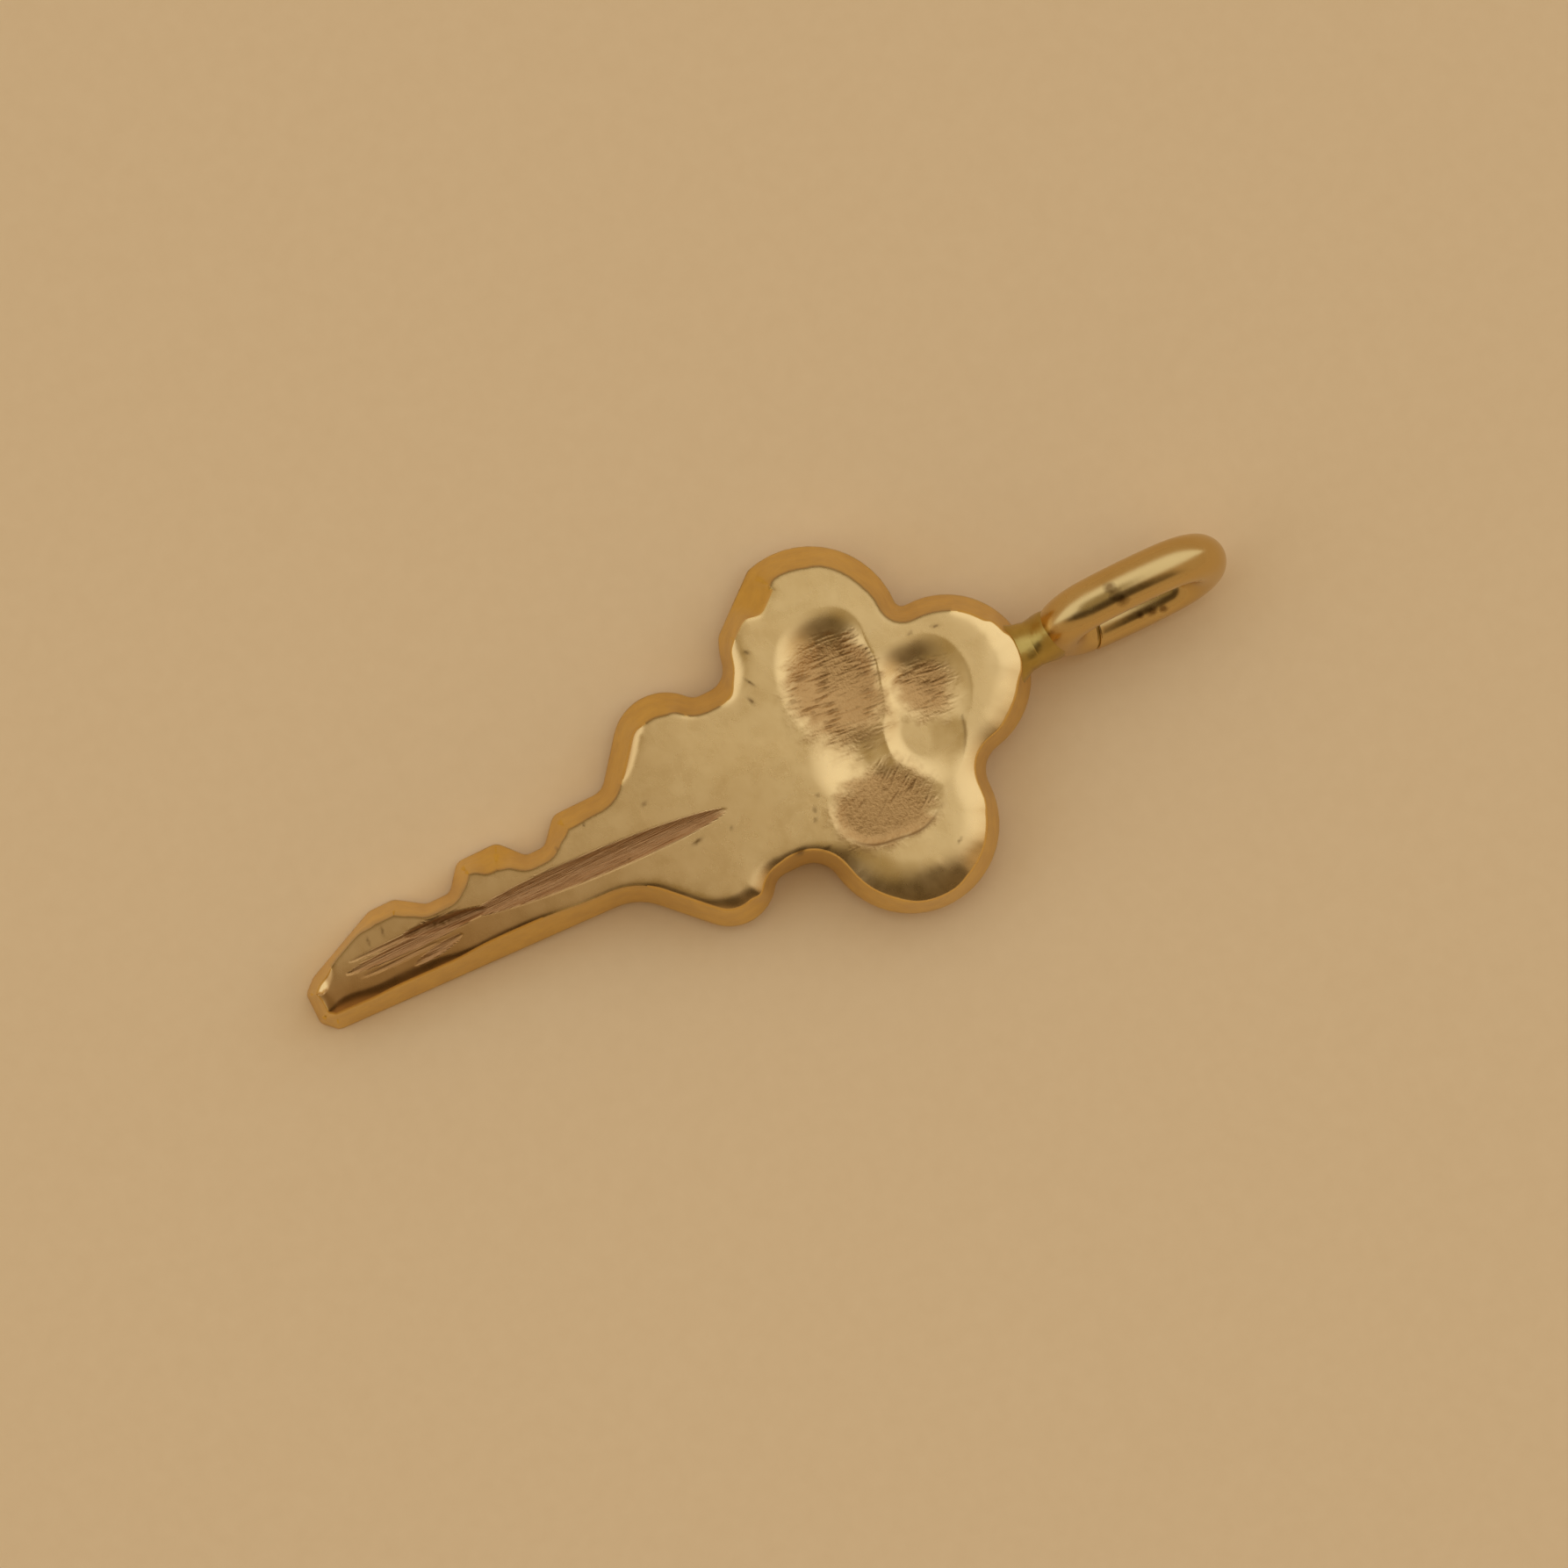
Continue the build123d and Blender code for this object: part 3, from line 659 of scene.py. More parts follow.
def cast_gold(settings):
    """Cast 14 carat yellow gold, polished on its face and left rough where it was burred and engraved.

    The polish gives a soft satin mirror, and the cuts a rosier, scattered shine."""
    material, tree, shader, place = metal_start("Cast yellow gold, polished and engraved")
    finish = add_node(tree, "ShaderNodeAttribute", attribute_name="finish")
    split = add_node(tree, "ShaderNodeSeparateColor", {"Color": finish.outputs["Color"]})
    floor, cut, wall = split.outputs["Red"], split.outputs["Green"], split.outputs["Blue"]

    # Cloudy tone of the polish, about 0.7 mm across
    cloud = add_node(tree, "ShaderNodeTexNoise", {"Vector": place, "Scale": 1 / (0.7 * MM), "Detail": 4.0})
    tone = add_node(
        tree, "ShaderNodeMix",
        {0: cloud.outputs[0], 6: settings.polish_dark, 7: settings.polish_light},
        data_type="RGBA",
    )
    # The blade is less polished and browner than the bow, and painted darker as shade along it
    worn = add_node(tree, "ShaderNodeAttribute", attribute_name="worn").outputs["Fac"]
    tone = add_node(
        tree, "ShaderNodeMix", {0: worn, 6: tone.outputs[2], 7: settings.blade_tone}, data_type="RGBA"
    )
    # Walls keep more of the cast skin, in patches about 0.35 mm across
    smear = add_node(tree, "ShaderNodeTexNoise", {"Vector": place, "Scale": 1 / (0.35 * MM), "Detail": 3.0})
    patchy = add_node(tree, "ShaderNodeMapRange", {0: smear.outputs[0], 1: 0.35, 2: 0.65, 3: 0.22, 4: 0.0})
    skin_tone = add_node(
        tree, "ShaderNodeMix",
        {0: patchy.outputs[0], 6: settings.wall_tone, 7: settings.blade_tone},
        data_type="RGBA",
    )
    tone = add_node(
        tree, "ShaderNodeMix", {0: wall, 6: tone.outputs[2], 7: skin_tone.outputs[2]}, data_type="RGBA"
    )
    # Rosier floor and cuts; dark polish in pits, painted shade along crisp creases and the recess's crisp rim,
    # and darker burr dents
    rosy = add_node(
        tree, "ShaderNodeMix", {0: floor, 6: tone.outputs[2], 7: settings.burred}, data_type="RGBA"
    )
    cut_tone = add_node(
        tree, "ShaderNodeMix", {0: cut, 6: rosy.outputs[2], 7: settings.engraved}, data_type="RGBA"
    )
    grimy = add_node(
        tree, "ShaderNodeMix", {0: finish.outputs["Alpha"], 6: cut_tone.outputs[2], 7: settings.polish_left},
        data_type="RGBA",
    )
    tree.links.new(grimy.outputs[2], shader.inputs["Base Color"])

    # Roughness: satin face, duller floor and cuts, with smears of polish
    satin = add_node(tree, "ShaderNodeMapRange", {0: smear.outputs[0], 1: 0.3, 2: 0.7, 3: 0.24, 4: 0.32})
    floor_rough = add_node(tree, "ShaderNodeMix", {0: floor, 2: satin.outputs[0], 3: 0.38})
    cut_rough = add_node(tree, "ShaderNodeMix", {0: cut, 2: floor_rough.outputs[0], 3: 0.34})
    wall_rough = add_node(tree, "ShaderNodeMix", {0: wall, 2: cut_rough.outputs[0], 3: 0.30})
    tree.links.new(wall_rough.outputs[0], shader.inputs["Roughness"])

    # Grain 0.05 mm across on the recess floor, graver lines 0.02 mm apart, and the polish's faint grain
    burr = add_node(tree, "ShaderNodeTexNoise", {"Vector": place, "Scale": 1 / (0.05 * MM), "Detail": 4.0})
    draw = add_node(
        tree, "ShaderNodeMapping",
        {
            "Vector": place,
            "Rotation": (0, 0, 0.06),
            "Scale": (1 / (0.9 * MM), 1 / (0.02 * MM), 1 / (0.9 * MM)),
        },
    )
    lines = add_node(tree, "ShaderNodeTexNoise", {"Vector": draw.outputs[0], "Scale": 1.0, "Detail": 4.0})
    grain = add_node(tree, "ShaderNodeTexNoise", {"Vector": place, "Scale": 1 / (0.09 * MM), "Detail": 3.0})
    rough_floor = add_node(tree, "ShaderNodeMath", {0: floor, 1: 0.6}, operation="MULTIPLY")
    floor_height = add_node(
        tree, "ShaderNodeMath", {0: burr.outputs[0], 1: rough_floor.outputs[0]}, operation="MULTIPLY"
    )
    cut_height = add_node(tree, "ShaderNodeMath", {0: lines.outputs[0], 1: cut}, operation="MULTIPLY")
    skin = add_node(tree, "ShaderNodeMapRange", {0: wall, 3: 0.03, 4: 0.22})
    faint = add_node(tree, "ShaderNodeMath", {0: grain.outputs[0], 1: skin.outputs[0]}, operation="MULTIPLY")
    marks = add_node(
        tree, "ShaderNodeMath", {0: floor_height.outputs[0], 1: cut_height.outputs[0]}, operation="ADD"
    )
    height = add_node(tree, "ShaderNodeMath", {0: marks.outputs[0], 1: faint.outputs[0]}, operation="ADD")
    bump = add_node(
        tree, "ShaderNodeBump", {"Height": height.outputs[0], "Strength": 1.0, "Distance": 0.02 * MM}
    )
    tree.links.new(bump.outputs[0], shader.inputs["Normal"])
    return material


def drawn_wire(settings):
    """Drawn gold wire, bent and tumbled: a clear mirror with faint lengthwise draw lines."""
    material, tree, shader, place = metal_start("Drawn yellow gold wire")
    cloud = add_node(tree, "ShaderNodeTexNoise", {"Vector": place, "Scale": 1 / (0.6 * MM), "Detail": 3.0})
    tone = add_node(
        tree, "ShaderNodeMix",
        {0: cloud.outputs[0], 6: settings.wire_dark, 7: settings.wire_light},
        data_type="RGBA",
    )
    # Dark patches painted on the bail, with ragged edges: the camera's painted reflection across its top, and
    # dark patches on its lower side
    torn = add_node(tree, "ShaderNodeTexNoise", {"Vector": place, "Scale": 1 / (0.14 * MM), "Detail": 3.0})
    for x, y, z, reach in PLIER_MARKS:
        middle = (x * MM, y * MM, z * MM)
        away = add_node(tree, "ShaderNodeVectorMath", {0: place, 1: middle}, operation="DISTANCE")
        far = add_node(
            tree, "ShaderNodeMath",
            {0: torn.outputs[0], 1: reach * MM, 2: away.outputs["Value"]},
            operation="MULTIPLY_ADD",
        )
        mark = add_node(
            tree, "ShaderNodeMapRange",
            {0: far.outputs[0], 1: 0.85 * reach * MM, 2: 1.6 * reach * MM, 3: 0.75, 4: 0.0},
        )
        tone = add_node(
            tree, "ShaderNodeMix",
            {0: mark.outputs[0], 6: tone.outputs[2], 7: settings.polish_left},
            data_type="RGBA",
        )
    tree.links.new(tone.outputs[2], shader.inputs["Base Color"])
    rough = add_node(tree, "ShaderNodeMapRange", {0: cloud.outputs[0], 1: 0.3, 2: 0.7, 3: 0.19, 4: 0.29})
    tree.links.new(rough.outputs[0], shader.inputs["Roughness"])
    grain = add_node(tree, "ShaderNodeTexNoise", {"Vector": place, "Scale": 1 / (0.12 * MM), "Detail": 4.0})
    bump = add_node(
        tree, "ShaderNodeBump", {"Height": grain.outputs[0], "Strength": 1.0, "Distance": 0.0012 * MM}
    )
    tree.links.new(bump.outputs[0], shader.inputs["Normal"])
    return material


def gold_solder(settings):
    """Gold solder, flowed and pickled: greener than the gold, with small lumps."""
    material, tree, shader, place = metal_start("Flowed gold solder")
    cloud = add_node(tree, "ShaderNodeTexNoise", {"Vector": place, "Scale": 1 / (0.25 * MM), "Detail": 4.0})
    tone = add_node(
        tree, "ShaderNodeMix",
        {0: cloud.outputs[0], 6: settings.solder_dark, 7: settings.solder_light},
        data_type="RGBA",
    )
    tree.links.new(tone.outputs[2], shader.inputs["Base Color"])
    rough = add_node(tree, "ShaderNodeMapRange", {0: cloud.outputs[0], 1: 0.3, 2: 0.7, 3: 0.28, 4: 0.38})
    tree.links.new(rough.outputs[0], shader.inputs["Roughness"])
    bump = add_node(
        tree, "ShaderNodeBump", {"Height": cloud.outputs[0], "Strength": 1.0, "Distance": 0.012 * MM}
    )
    tree.links.new(bump.outputs[0], shader.inputs["Normal"])
    return material


def tan_card(settings):
    """Uncoated tan card: matt, with a fine paper grain."""
    material = bpy.data.materials.new("Uncoated tan card")
    material.use_nodes = True
    tree = material.node_tree
    shader = tree.nodes["Principled BSDF"]
    shader.inputs["Roughness"].default_value = 0.9
    shader.inputs["Specular IOR Level"].default_value = 0.15
    place = add_node(tree, "ShaderNodeTexCoord").outputs["Object"]
    fibre = add_node(tree, "ShaderNodeTexNoise", {"Vector": place, "Scale": 1 / (0.3 * MM), "Detail": 5.0})
    tone = add_node(
        tree, "ShaderNodeMix",
        {0: fibre.outputs[0], 6: settings.card_dark, 7: settings.card_light},
        data_type="RGBA",
    )
    tree.links.new(tone.outputs[2], shader.inputs["Base Color"])
    return material


def soft_studio(scene, settings):
    """Plain soft light from all round: one long diffuser overhead, tan board beside it and a dim side."""
    world = bpy.data.worlds.new("Soft studio")
    world.use_nodes = True
    scene.world = world
    tree = world.node_tree
    shine = tree.nodes["Background"]
    way = add_node(tree, "ShaderNodeTexCoord").outputs["Generated"]
    _, y, z = add_node(tree, "ShaderNodeSeparateXYZ", {0: way}).outputs
    lean = add_node(tree, "ShaderNodeMath", {0: y, 1: z}, operation="ARCTAN2").outputs[0]

    # The dim side: how far a direction turns towards it, and how far it drops that way
    dim_way = (math.cos(settings.dim_way), math.sin(settings.dim_way), 0)
    ahead = add_node(tree, "ShaderNodeVectorMath", {0: way, 1: dim_way}, operation="DOT_PRODUCT")
    ahead = ahead.outputs["Value"]
    level = add_node(tree, "ShaderNodeVectorMath", {0: way, 1: (1, 1, 0)}, operation="MULTIPLY")
    level = add_node(tree, "ShaderNodeVectorMath", {0: level.outputs[0]}, operation="LENGTH")
    facing = add_node(tree, "ShaderNodeMath", {0: ahead, 1: level.outputs["Value"]}, operation="DIVIDE")
    drop = add_node(tree, "ShaderNodeMath", {0: ahead, 1: z}, operation="ARCTAN2").outputs[0]
    axis = Vector(LENS_WAY).normalized()
    toward = add_node(tree, "ShaderNodeVectorMath", {0: way, 1: axis}, operation="DOT_PRODUCT")

    # Soft edges: the diffuser's two, the dim side's two and its fade sideways, and the lens's
    near, far, edge = settings.diffuser_near, settings.diffuser_far, settings.diffuser_edge
    lens_fade = [math.cos(math.radians(angle)) for angle in LENS_FADE]
    edges = []
    for value, low, high in (
        (lean, near - edge, near + edge),
        (lean, far + edge, far - edge),
        (drop, -near - edge, -near + 0.5 * edge),
        (drop, *DIM_END),
        (facing.outputs[0], *DIM_FADE),
        (toward.outputs["Value"], *lens_fade),
    ):
        inputs = {0: value, 1: low, 2: high, 3: 0.0, 4: 1.0}
        fade = add_node(tree, "ShaderNodeMapRange", inputs, interpolation_type="SMOOTHSTEP")
        edges.append(fade.outputs[0])
    diffuser = add_node(tree, "ShaderNodeMath", {0: edges[0], 1: edges[1]}, operation="MULTIPLY")
    dim = add_node(tree, "ShaderNodeMath", {0: edges[2], 1: edges[3]}, operation="MULTIPLY")
    dim = add_node(tree, "ShaderNodeMath", {0: dim.outputs[0], 1: edges[4]}, operation="MULTIPLY")

    sky = settings.board
    for share, colour in (
        (diffuser.outputs[0], settings.diffuser),
        (dim.outputs[0], settings.dim_side),
        (edges[5], settings.lens),
    ):
        sky = add_node(tree, "ShaderNodeMix", {0: share, 6: sky, 7: colour}, data_type="RGBA").outputs[2]
    tree.links.new(sky, shine.inputs["Color"])
    shine.inputs["Strength"].default_value = 1.0


class CastingSettings(bpy.types.PropertyGroup):
    """Sizes and colours of the casting"""

    face_height: bpy.props.FloatProperty(
        name="Face height", description="Height of the face above the flat back",
        default=1.18 * MM, unit="LENGTH",
    )
    heel: bpy.props.FloatProperty(
        name="Heel", description="Rounding of the edge round the back",
        default=0.05 * MM, unit="LENGTH",
    )
    corner_ease: bpy.props.FloatProperty(
        name="Corner ease", description="Reach over which the outline's corners are eased",
        default=0.045 * MM, unit="LENGTH",
    )
    edge_spacing: bpy.props.FloatProperty(
        name="Edge spacing", description="Spacing of the mesh along the edges",
        default=0.03 * MM, unit="LENGTH",
    )
    face_spacing: bpy.props.FloatProperty(
        name="Face spacing", description="Spacing of the mesh on the face",
        default=0.042 * MM, unit="LENGTH",
    )
    cut_spacing: bpy.props.FloatProperty(
        name="Cut spacing", description="Spacing of the mesh in the recess and the cuts",
        default=0.019 * MM, unit="LENGTH",
    )
    back_spacing: bpy.props.FloatProperty(
        name="Back spacing", description="Spacing of the mesh on the flat back",
        default=0.12 * MM, unit="LENGTH",
    )
    polish_light: bpy.props.FloatVectorProperty(
        name="Polish, light", description="Lighter tone of the polished gold",
        default=linear_colour("#F4D69C"), size=4, subtype="COLOR",
    )
    polish_dark: bpy.props.FloatVectorProperty(
        name="Polish, dark", description="Darker tone of the polished gold",
        default=linear_colour("#EBC88A"), size=4, subtype="COLOR",
    )
    # Browner tone of the blade, partly lesser polish and partly painted shade; it also tints the walls'
    # patches of cast skin
    blade_tone: bpy.props.FloatVectorProperty(
        name="Blade", description="Browner tone of the blade",
        default=linear_colour("#B0844E"), size=4, subtype="COLOR",
    )
    wall_tone: bpy.props.FloatVectorProperty(
        name="Walls", description="Richer tone of the walls, which the polishing wheel hardly reached",
        default=linear_colour("#E6C264"), size=4, subtype="COLOR",
    )
    # Colour of the dark polish in pits, of the painted shade along crisp creases and the recess's rim, and of
    # the darker burr dents
    polish_left: bpy.props.FloatVectorProperty(
        name="Polish and painted dark", description="Tone of the dark polish left in pits",
        default=linear_colour("#6B4A22"), size=4, subtype="COLOR",
    )
    burred: bpy.props.FloatVectorProperty(
        name="Burred", description="Tone of the recess floor",
        default=linear_colour("#C09964"), size=4, subtype="COLOR",
    )
    engraved: bpy.props.FloatVectorProperty(
        name="Engraved", description="Tone of the graver's cuts",
        default=linear_colour("#AD8459"), size=4, subtype="COLOR",
    )


class BailSettings(bpy.types.PropertyGroup):
    """Sizes and colours of the bail and its solder"""

    wire_diameter: bpy.props.FloatProperty(
        name="Wire diameter", description="Diameter of the bail's wire",
        default=0.85 * MM, unit="LENGTH",
    )
    twist: bpy.props.FloatProperty(
        name="Twist", description="Turn of the bail out of square to the plate",
        default=math.radians(14), subtype="ANGLE",
    )
    side_bow: bpy.props.FloatProperty(
        name="Side bow", description="Turn of each long side's ends out of straight",
        default=math.radians(9), subtype="ANGLE",
    )
    seam_angle: bpy.props.FloatProperty(
        name="Seam angle", description="Place of the seam round the bend by the bow",
        default=math.radians(21), subtype="ANGLE",
    )
    seam_width: bpy.props.FloatProperty(
        name="Seam width", description="Gap between the wire's butted ends",
        default=0.06 * MM, unit="LENGTH",
    )
    seam_recess: bpy.props.FloatProperty(
        name="Seam recess", description="How far the seam's solder lies below the wire",
        default=0.03 * MM, unit="LENGTH",
    )
    wire_light: bpy.props.FloatVectorProperty(
        name="Wire, light", description="Lighter tone of the wire",
        default=linear_colour("#D6BA80"), size=4, subtype="COLOR",
    )
    wire_dark: bpy.props.FloatVectorProperty(
        name="Wire, dark", description="Darker tone of the wire",
        default=linear_colour("#CBAC70"), size=4, subtype="COLOR",
    )
    # Colour of the dark patches painted on the bail, the camera's painted reflection among them
    polish_left: bpy.props.FloatVectorProperty(
        name="Polish and painted dark", description="Tone of the dark polish left in the marks of the pliers",
        default=linear_colour("#6B4A22"), size=4, subtype="COLOR",
    )
    solder_light: bpy.props.FloatVectorProperty(
        name="Solder, light", description="Lighter tone of the solder",
        default=linear_colour("#CDB368"), size=4, subtype="COLOR",
    )
    solder_dark: bpy.props.FloatVectorProperty(
        name="Solder, dark", description="Darker tone of the solder",
        default=linear_colour("#A48A45"), size=4, subtype="COLOR",
    )


class StageSettings(bpy.types.PropertyGroup):
    """Card, light and camera"""

    frame_width: bpy.props.FloatProperty(
        name="Frame width", description="Width of the picture at the face",
        default=27.48 * MM, unit="LENGTH",
    )
    camera_height: bpy.props.FloatProperty(
        name="Camera height", description="Height of the camera above the face",
        default=0.20, unit="LENGTH",
    )
    turn: bpy.props.FloatProperty(
        name="Turn", description="Turn of the charm in the picture",
        default=math.radians(26), subtype="ANGLE",
    )
    look_x: bpy.props.FloatProperty(
        name="Look X", description="Place under the camera, along the charm",
        default=-2.14 * MM, unit="LENGTH",
    )
    look_y: bpy.props.FloatProperty(
        name="Look Y", description="Place under the camera, across the charm",
        default=-0.31 * MM, unit="LENGTH",
    )
    card_size: bpy.props.FloatProperty(
        name="Card size", description="Side of the card",
        default=2.0, unit="LENGTH",
    )
    diffuser_near: bpy.props.FloatProperty(
        name="Diffuser, near side", description="Lean of the diffuser's edge towards -Y",
        default=math.radians(-20), subtype="ANGLE",
    )
    diffuser_far: bpy.props.FloatProperty(
        name="Diffuser, far side", description="Lean of the diffuser's edge towards +Y",
        default=math.radians(46), subtype="ANGLE",
    )
    diffuser_edge: bpy.props.FloatProperty(
        name="Diffuser edge", description="Half the lean over which the diffuser's edge fades",
        default=math.radians(13), subtype="ANGLE",
    )
    dim_way: bpy.props.FloatProperty(
        name="Dim way", description="Way from the charm to the middle of the dim side",
        default=math.radians(-116), subtype="ANGLE",
    )
    diffuser: bpy.props.FloatVectorProperty(
        name="Diffuser", description="Colour of the diffuser",
        default=linear_colour("#FFFFFF"), size=4, subtype="COLOR",
    )
    board: bpy.props.FloatVectorProperty(
        name="Board", description="Colour of the tan board round it",
        default=linear_colour("#C2A57C"), size=4, subtype="COLOR",
    )
    lens: bpy.props.FloatVectorProperty(
        name="Lens", description="Colour of the round of the camera overhead",
        default=linear_colour("#9E8D67"), size=4, subtype="COLOR",
    )
    dim_side: bpy.props.FloatVectorProperty(
        name="Dim side", description="Colour of the unlit side",
        default=linear_colour("#4A3C28"), size=4, subtype="COLOR",
    )
    card_light: bpy.props.FloatVectorProperty(
        name="Card, light", description="Lighter tone of the card",
        default=linear_colour("#F2D6AA"), size=4, subtype="COLOR",
    )
    card_dark: bpy.props.FloatVectorProperty(
        name="Card, dark", description="Darker tone of the card",
        default=linear_colour("#EDD0A3"), size=4, subtype="COLOR",
    )


class CHARM_OT_casting(bpy.types.Operator):
    """Makes the cast key: its walls, rolled face, recess, engraved groove and flat back"""

    bl_idname = "charm.casting"
    bl_label = "Casting"

    def execute(self, context):
        settings = context.scene.charm_casting
        piece = bpy.data.objects.new("key_casting", casting_mesh(settings))
        context.collection.objects.link(piece)
        settle(piece, cast_gold(settings), "cast_gold", "key_body")
        return {"FINISHED"}


class CHARM_OT_bail(bpy.types.Operator):
    """Bends the wire bail and closes its seam with solder"""

    bl_idname = "charm.bail"
    bl_label = "Bail"

    def execute(self, context):
        settings = context.scene.charm_bail
        low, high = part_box("bail_ring")
        middle = (low + high) / 2
        wire = settings.wire_diameter / 2
        # The oval is four arcs: two tight bends and two long sides that bow by a few degrees
        half_height = (high.z - low.z - settings.wire_diameter) / 2 / math.cos(settings.twist)
        half_length = (high.x - low.x - settings.wire_diameter) / 2
        lean = math.tan(settings.side_bow / 2)
        bend = (half_height - half_length * lean) / (1 - lean)
        near, far = middle.x - half_length + bend, middle.x + half_length - bend
        long_radius = (half_length - bend) / math.sin(settings.side_bow) + bend
        seam_turn = settings.seam_width / bend
        seam_start = -math.pi / 2 - settings.seam_angle

        def bent(x, z, turn):
            """Spins the wire's open end round a centre, in steps of about 2 degrees."""
            steps = max(2, round(abs(turn) / math.radians(2.0)))
            bpy.ops.mesh.spin(steps=steps, angle=turn, center=(x, middle.y, z), axis=(0, 1, 0))

        def section(radius, angle, name):
            """Starts a piece with a circle of wire, at an angle round the bend by the bow."""
            place = (near + bend * math.cos(angle), middle.y, middle.z + bend * math.sin(angle))
            return wire_loop(radius, place, -angle, name)

        def twisted():
            """Turns the piece out of square to the plate."""
            bpy.ops.object.mode_set(mode="EDIT")
            bpy.ops.mesh.select_all(action="SELECT")
            bpy.ops.transform.rotate(value=settings.twist, orient_axis="X", center_override=middle)
            bpy.ops.object.mode_set(mode="OBJECT")

        ring = section(wire, seam_start, "bail_wire")
        reach = long_radius - half_height
        bent(near, middle.z, settings.seam_angle - settings.side_bow)
        bent(middle.x, middle.z + reach, 2 * settings.side_bow)
        bent(far, middle.z, math.pi - 2 * settings.side_bow)
        bent(middle.x, middle.z - reach, 2 * settings.side_bow)
        bent(near, middle.z, math.pi - settings.side_bow - settings.seam_angle - seam_turn)
        close_ends(0.02 * MM)
        twisted()
        settle(ring, drawn_wire(settings), "gold_wire", "bail_ring")

        seam = section(wire - settings.seam_recess, seam_start - seam_turn, "bail_seam")
        bent(near, middle.z, seam_turn)
        close_ends(0)
        twisted()
        settle(seam, gold_solder(settings), "gold_solder", "seam_solder")
        return {"FINISHED"}


class CHARM_OT_neck(bpy.types.Operator):
    """Flows the solder round the neck, and gives the peg inside it its metal"""

    bl_idname = "charm.neck"
    bl_label = "Neck"

    def execute(self, context):
        settings = context.scene.charm_bail
        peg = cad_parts["neck_peg"]
        peg.data.materials.clear()
        peg.data.materials.append(bpy.data.materials["Drawn yellow gold wire"])
        low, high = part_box("neck_peg")
        middle = (low + high) / 2
        flows = (("bow_solder", "bow_solder_flow", BOW_FLOW), ("bail_solder", "bail_solder_flow", BAIL_FLOW))
        for node, name, knots in flows:
            knots = np.array(knots) * MM
            along = np.linspace(0, len(knots) - 1, 6 * (len(knots) - 1) + 1)
            rows = np.column_stack([np.interp(along, np.arange(len(knots)), knots[:, i]) for i in range(3)])
            flow = wire_loop(rows[0, 1], (rows[0, 0], middle.y, middle.z), math.pi / 2, name)
            bpy.ops.transform.resize(
                value=(1, 1, rows[0, 2] / rows[0, 1]), center_override=(rows[0, 0], middle.y, middle.z)
            )
            for before, after in zip(rows, rows[1:]):
                step = {"value": (after[0] - before[0], 0, 0)}
                bpy.ops.mesh.extrude_edges_move(TRANSFORM_OT_translate=step)
                bpy.ops.transform.resize(
                    value=(1, after[1] / before[1], after[2] / before[2]),
                    center_override=(after[0], middle.y, middle.z),
                )
            if node == "bail_solder":
                bpy.ops.mesh.select_all(action="SELECT")
                bpy.ops.transform.rotate(value=settings.twist, orient_axis="X", center_override=middle)
            close_ends(0)
            ease = flow.modifiers.new("Ease", "SMOOTH")
            ease.factor = 0.5
            ease.iterations = 6
            only(flow)
            bpy.ops.object.modifier_apply(modifier=ease.name)
            # Lumps about 0.3 mm across
            for vertex in flow.data.vertices:
                lump = noise.noise(vertex.co / (0.30 * MM) + Vector((0, 4.2, 0)))
                vertex.co += vertex.normal * (0.018 * MM * lump)
            settle(flow, bpy.data.materials["Flowed gold solder"], "gold_solder", node)
        return {"FINISHED"}


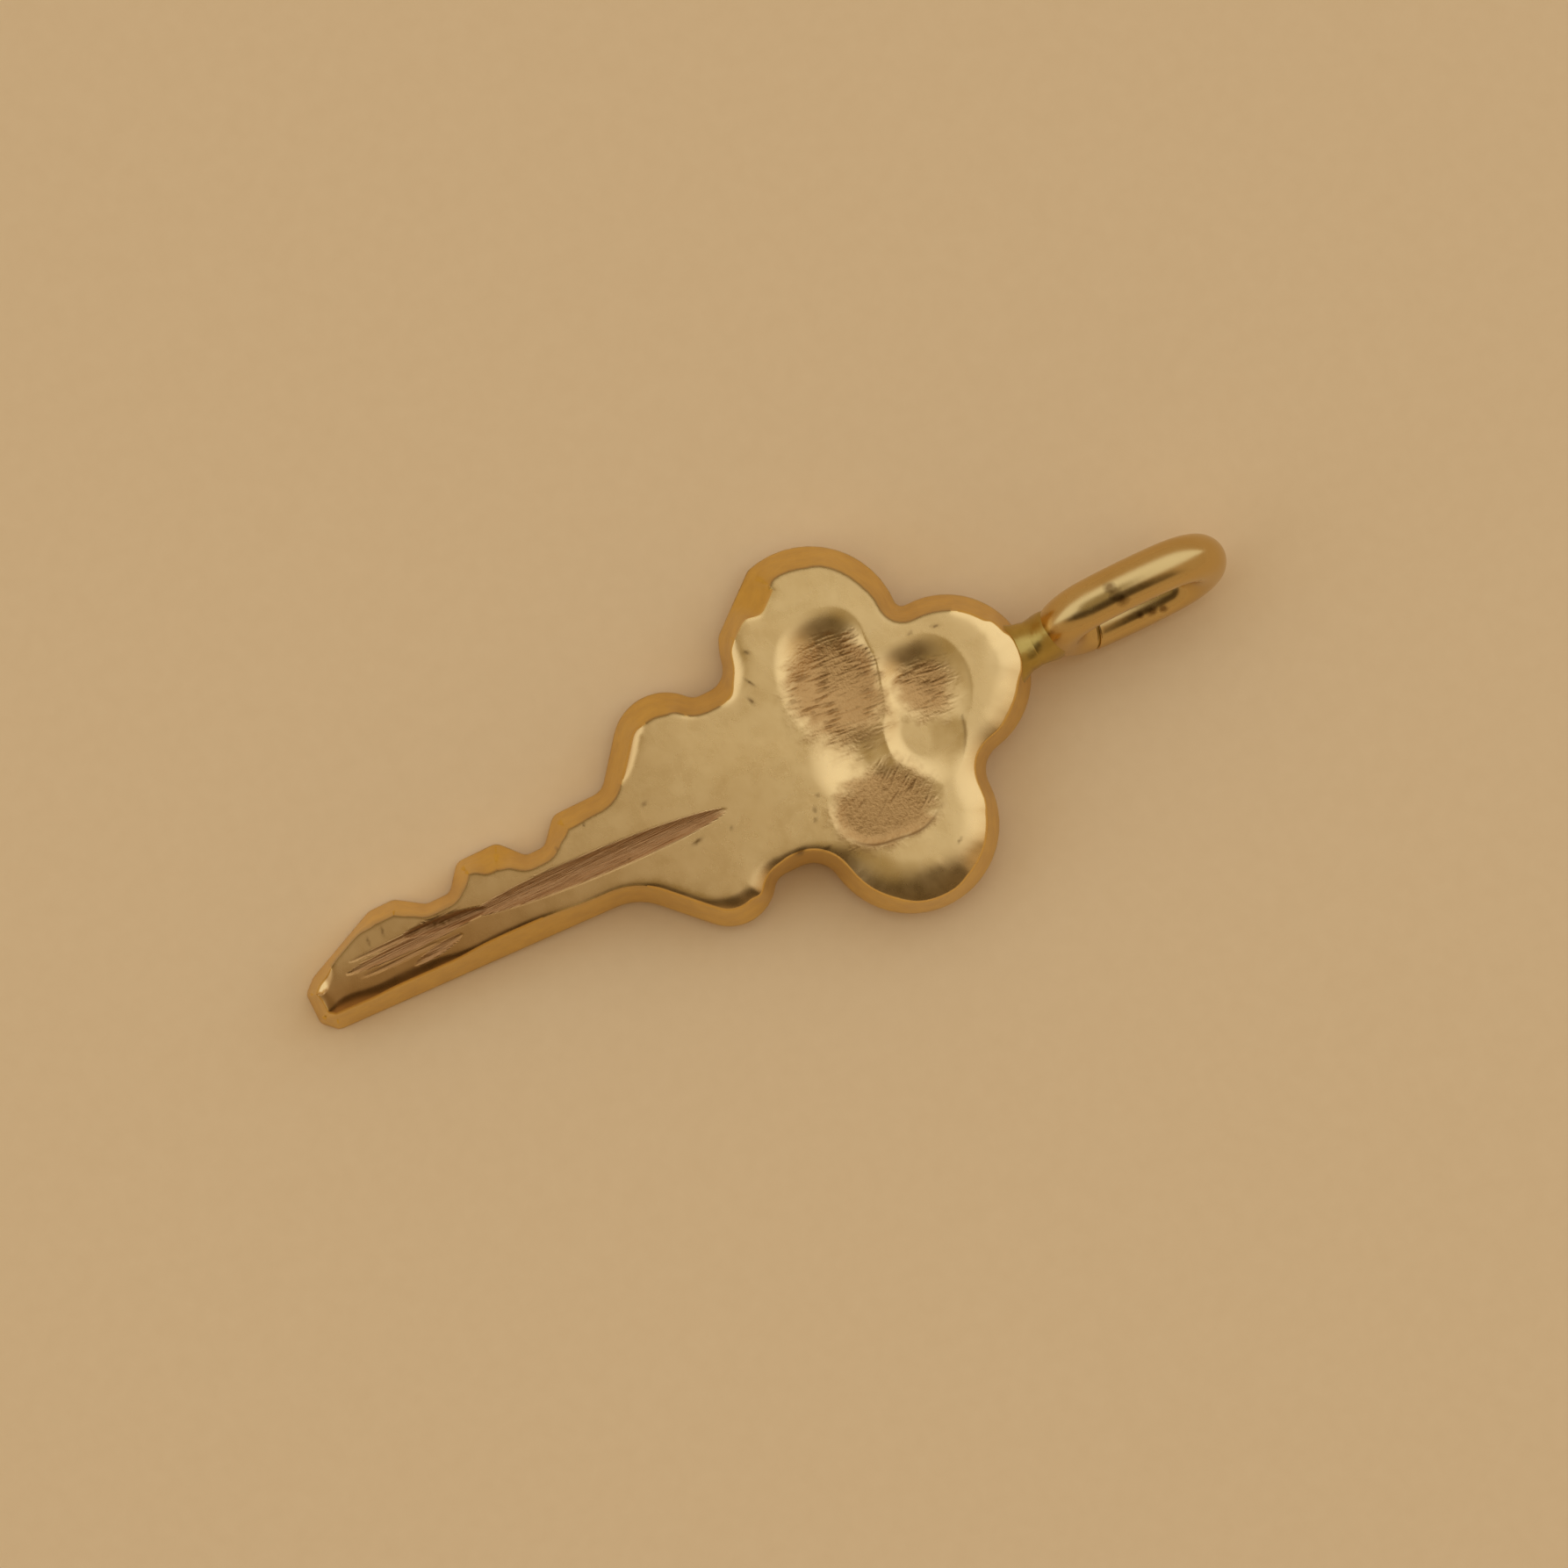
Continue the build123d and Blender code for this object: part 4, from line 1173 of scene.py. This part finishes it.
class CHARM_OT_stage(bpy.types.Operator):
    """Lays the card under the charm, and sets the light and the camera"""

    bl_idname = "charm.stage"
    bl_label = "Stage"

    def execute(self, context):
        settings = context.scene.charm_stage
        low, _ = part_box("key_body")
        ring_low, ring_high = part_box("bail_ring")
        # The charm lies on the blade's tip and on the bail
        foot = Vector((low.x, 0, low.z))
        prop = Vector(((ring_low.x + ring_high.x) / 2, 0, ring_low.z))
        pitch = math.atan2(foot.z - prop.z, prop.x - foot.x)
        bpy.ops.object.select_all(action="DESELECT")
        bpy.ops.mesh.primitive_plane_add(
            size=settings.card_size, location=(foot + prop) / 2, rotation=(0, pitch, 0)
        )
        card = context.object
        card.name = card.data.name = "card"
        card.data.materials.append(tan_card(settings))
        bpy.ops.object.transform_apply(location=True, rotation=True, scale=True)

        camera = bpy.data.objects.new("camera", bpy.data.cameras.new("camera"))
        context.collection.objects.link(camera)
        camera.data.sensor_width = SENSOR_WIDTH
        camera.data.lens = SENSOR_WIDTH * settings.camera_height / settings.frame_width
        camera.data.clip_start = 0.01
        across = Vector((math.cos(settings.turn), -math.sin(settings.turn), 0))
        upward = Vector((math.sin(settings.turn), math.cos(settings.turn), 0))
        turned = Matrix((across, upward, (0, 0, 1))).transposed().to_4x4()
        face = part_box("key_body")[1].z
        place = Vector((settings.look_x, settings.look_y, face + settings.camera_height))
        camera.matrix_world = Matrix.Translation(place) @ turned
        context.scene.camera = camera

        soft_studio(context.scene, settings)
        context.scene.view_settings.view_transform = "Standard"
        return {"FINISHED"}


class CHARM_PT_panel(bpy.types.Panel):
    """Lists the operators that make the charm, each with its settings"""

    bl_idname = "CHARM_PT_panel"
    bl_label = "Key charm"
    bl_space_type = "VIEW_3D"
    bl_region_type = "UI"
    bl_category = "Charm"

    def draw(self, context):
        for operators, group in (
            (("charm.casting",), "charm_casting"),
            (("charm.bail", "charm.neck"), "charm_bail"),
            (("charm.stage",), "charm_stage"),
        ):
            part = self.layout.box()
            for name in operators:
                part.operator(name)
            settings = getattr(context.scene, group)
            for key in settings.bl_rna.properties.keys():
                if key not in ("rna_type", "name"):
                    part.prop(settings, key)


CLASSES = (
    CastingSettings,
    BailSettings,
    StageSettings,
    CHARM_OT_casting,
    CHARM_OT_bail,
    CHARM_OT_neck,
    CHARM_OT_stage,
    CHARM_PT_panel,
)
GROUPS = {"charm_casting": CastingSettings, "charm_bail": BailSettings, "charm_stage": StageSettings}


def register():
    for made in CLASSES:
        bpy.utils.register_class(made)
    for name, group in GROUPS.items():
        setattr(bpy.types.Scene, name, bpy.props.PointerProperty(type=group))


def unregister():
    for name in GROUPS:
        delattr(bpy.types.Scene, name)
    for made in reversed(CLASSES):
        bpy.utils.unregister_class(made)


def main():
    """Makes the pieces and the stage."""
    register()
    bpy.ops.charm.casting()
    bpy.ops.charm.bail()
    bpy.ops.charm.neck()
    bpy.ops.charm.stage()


if __name__ == "__main__":
    main()
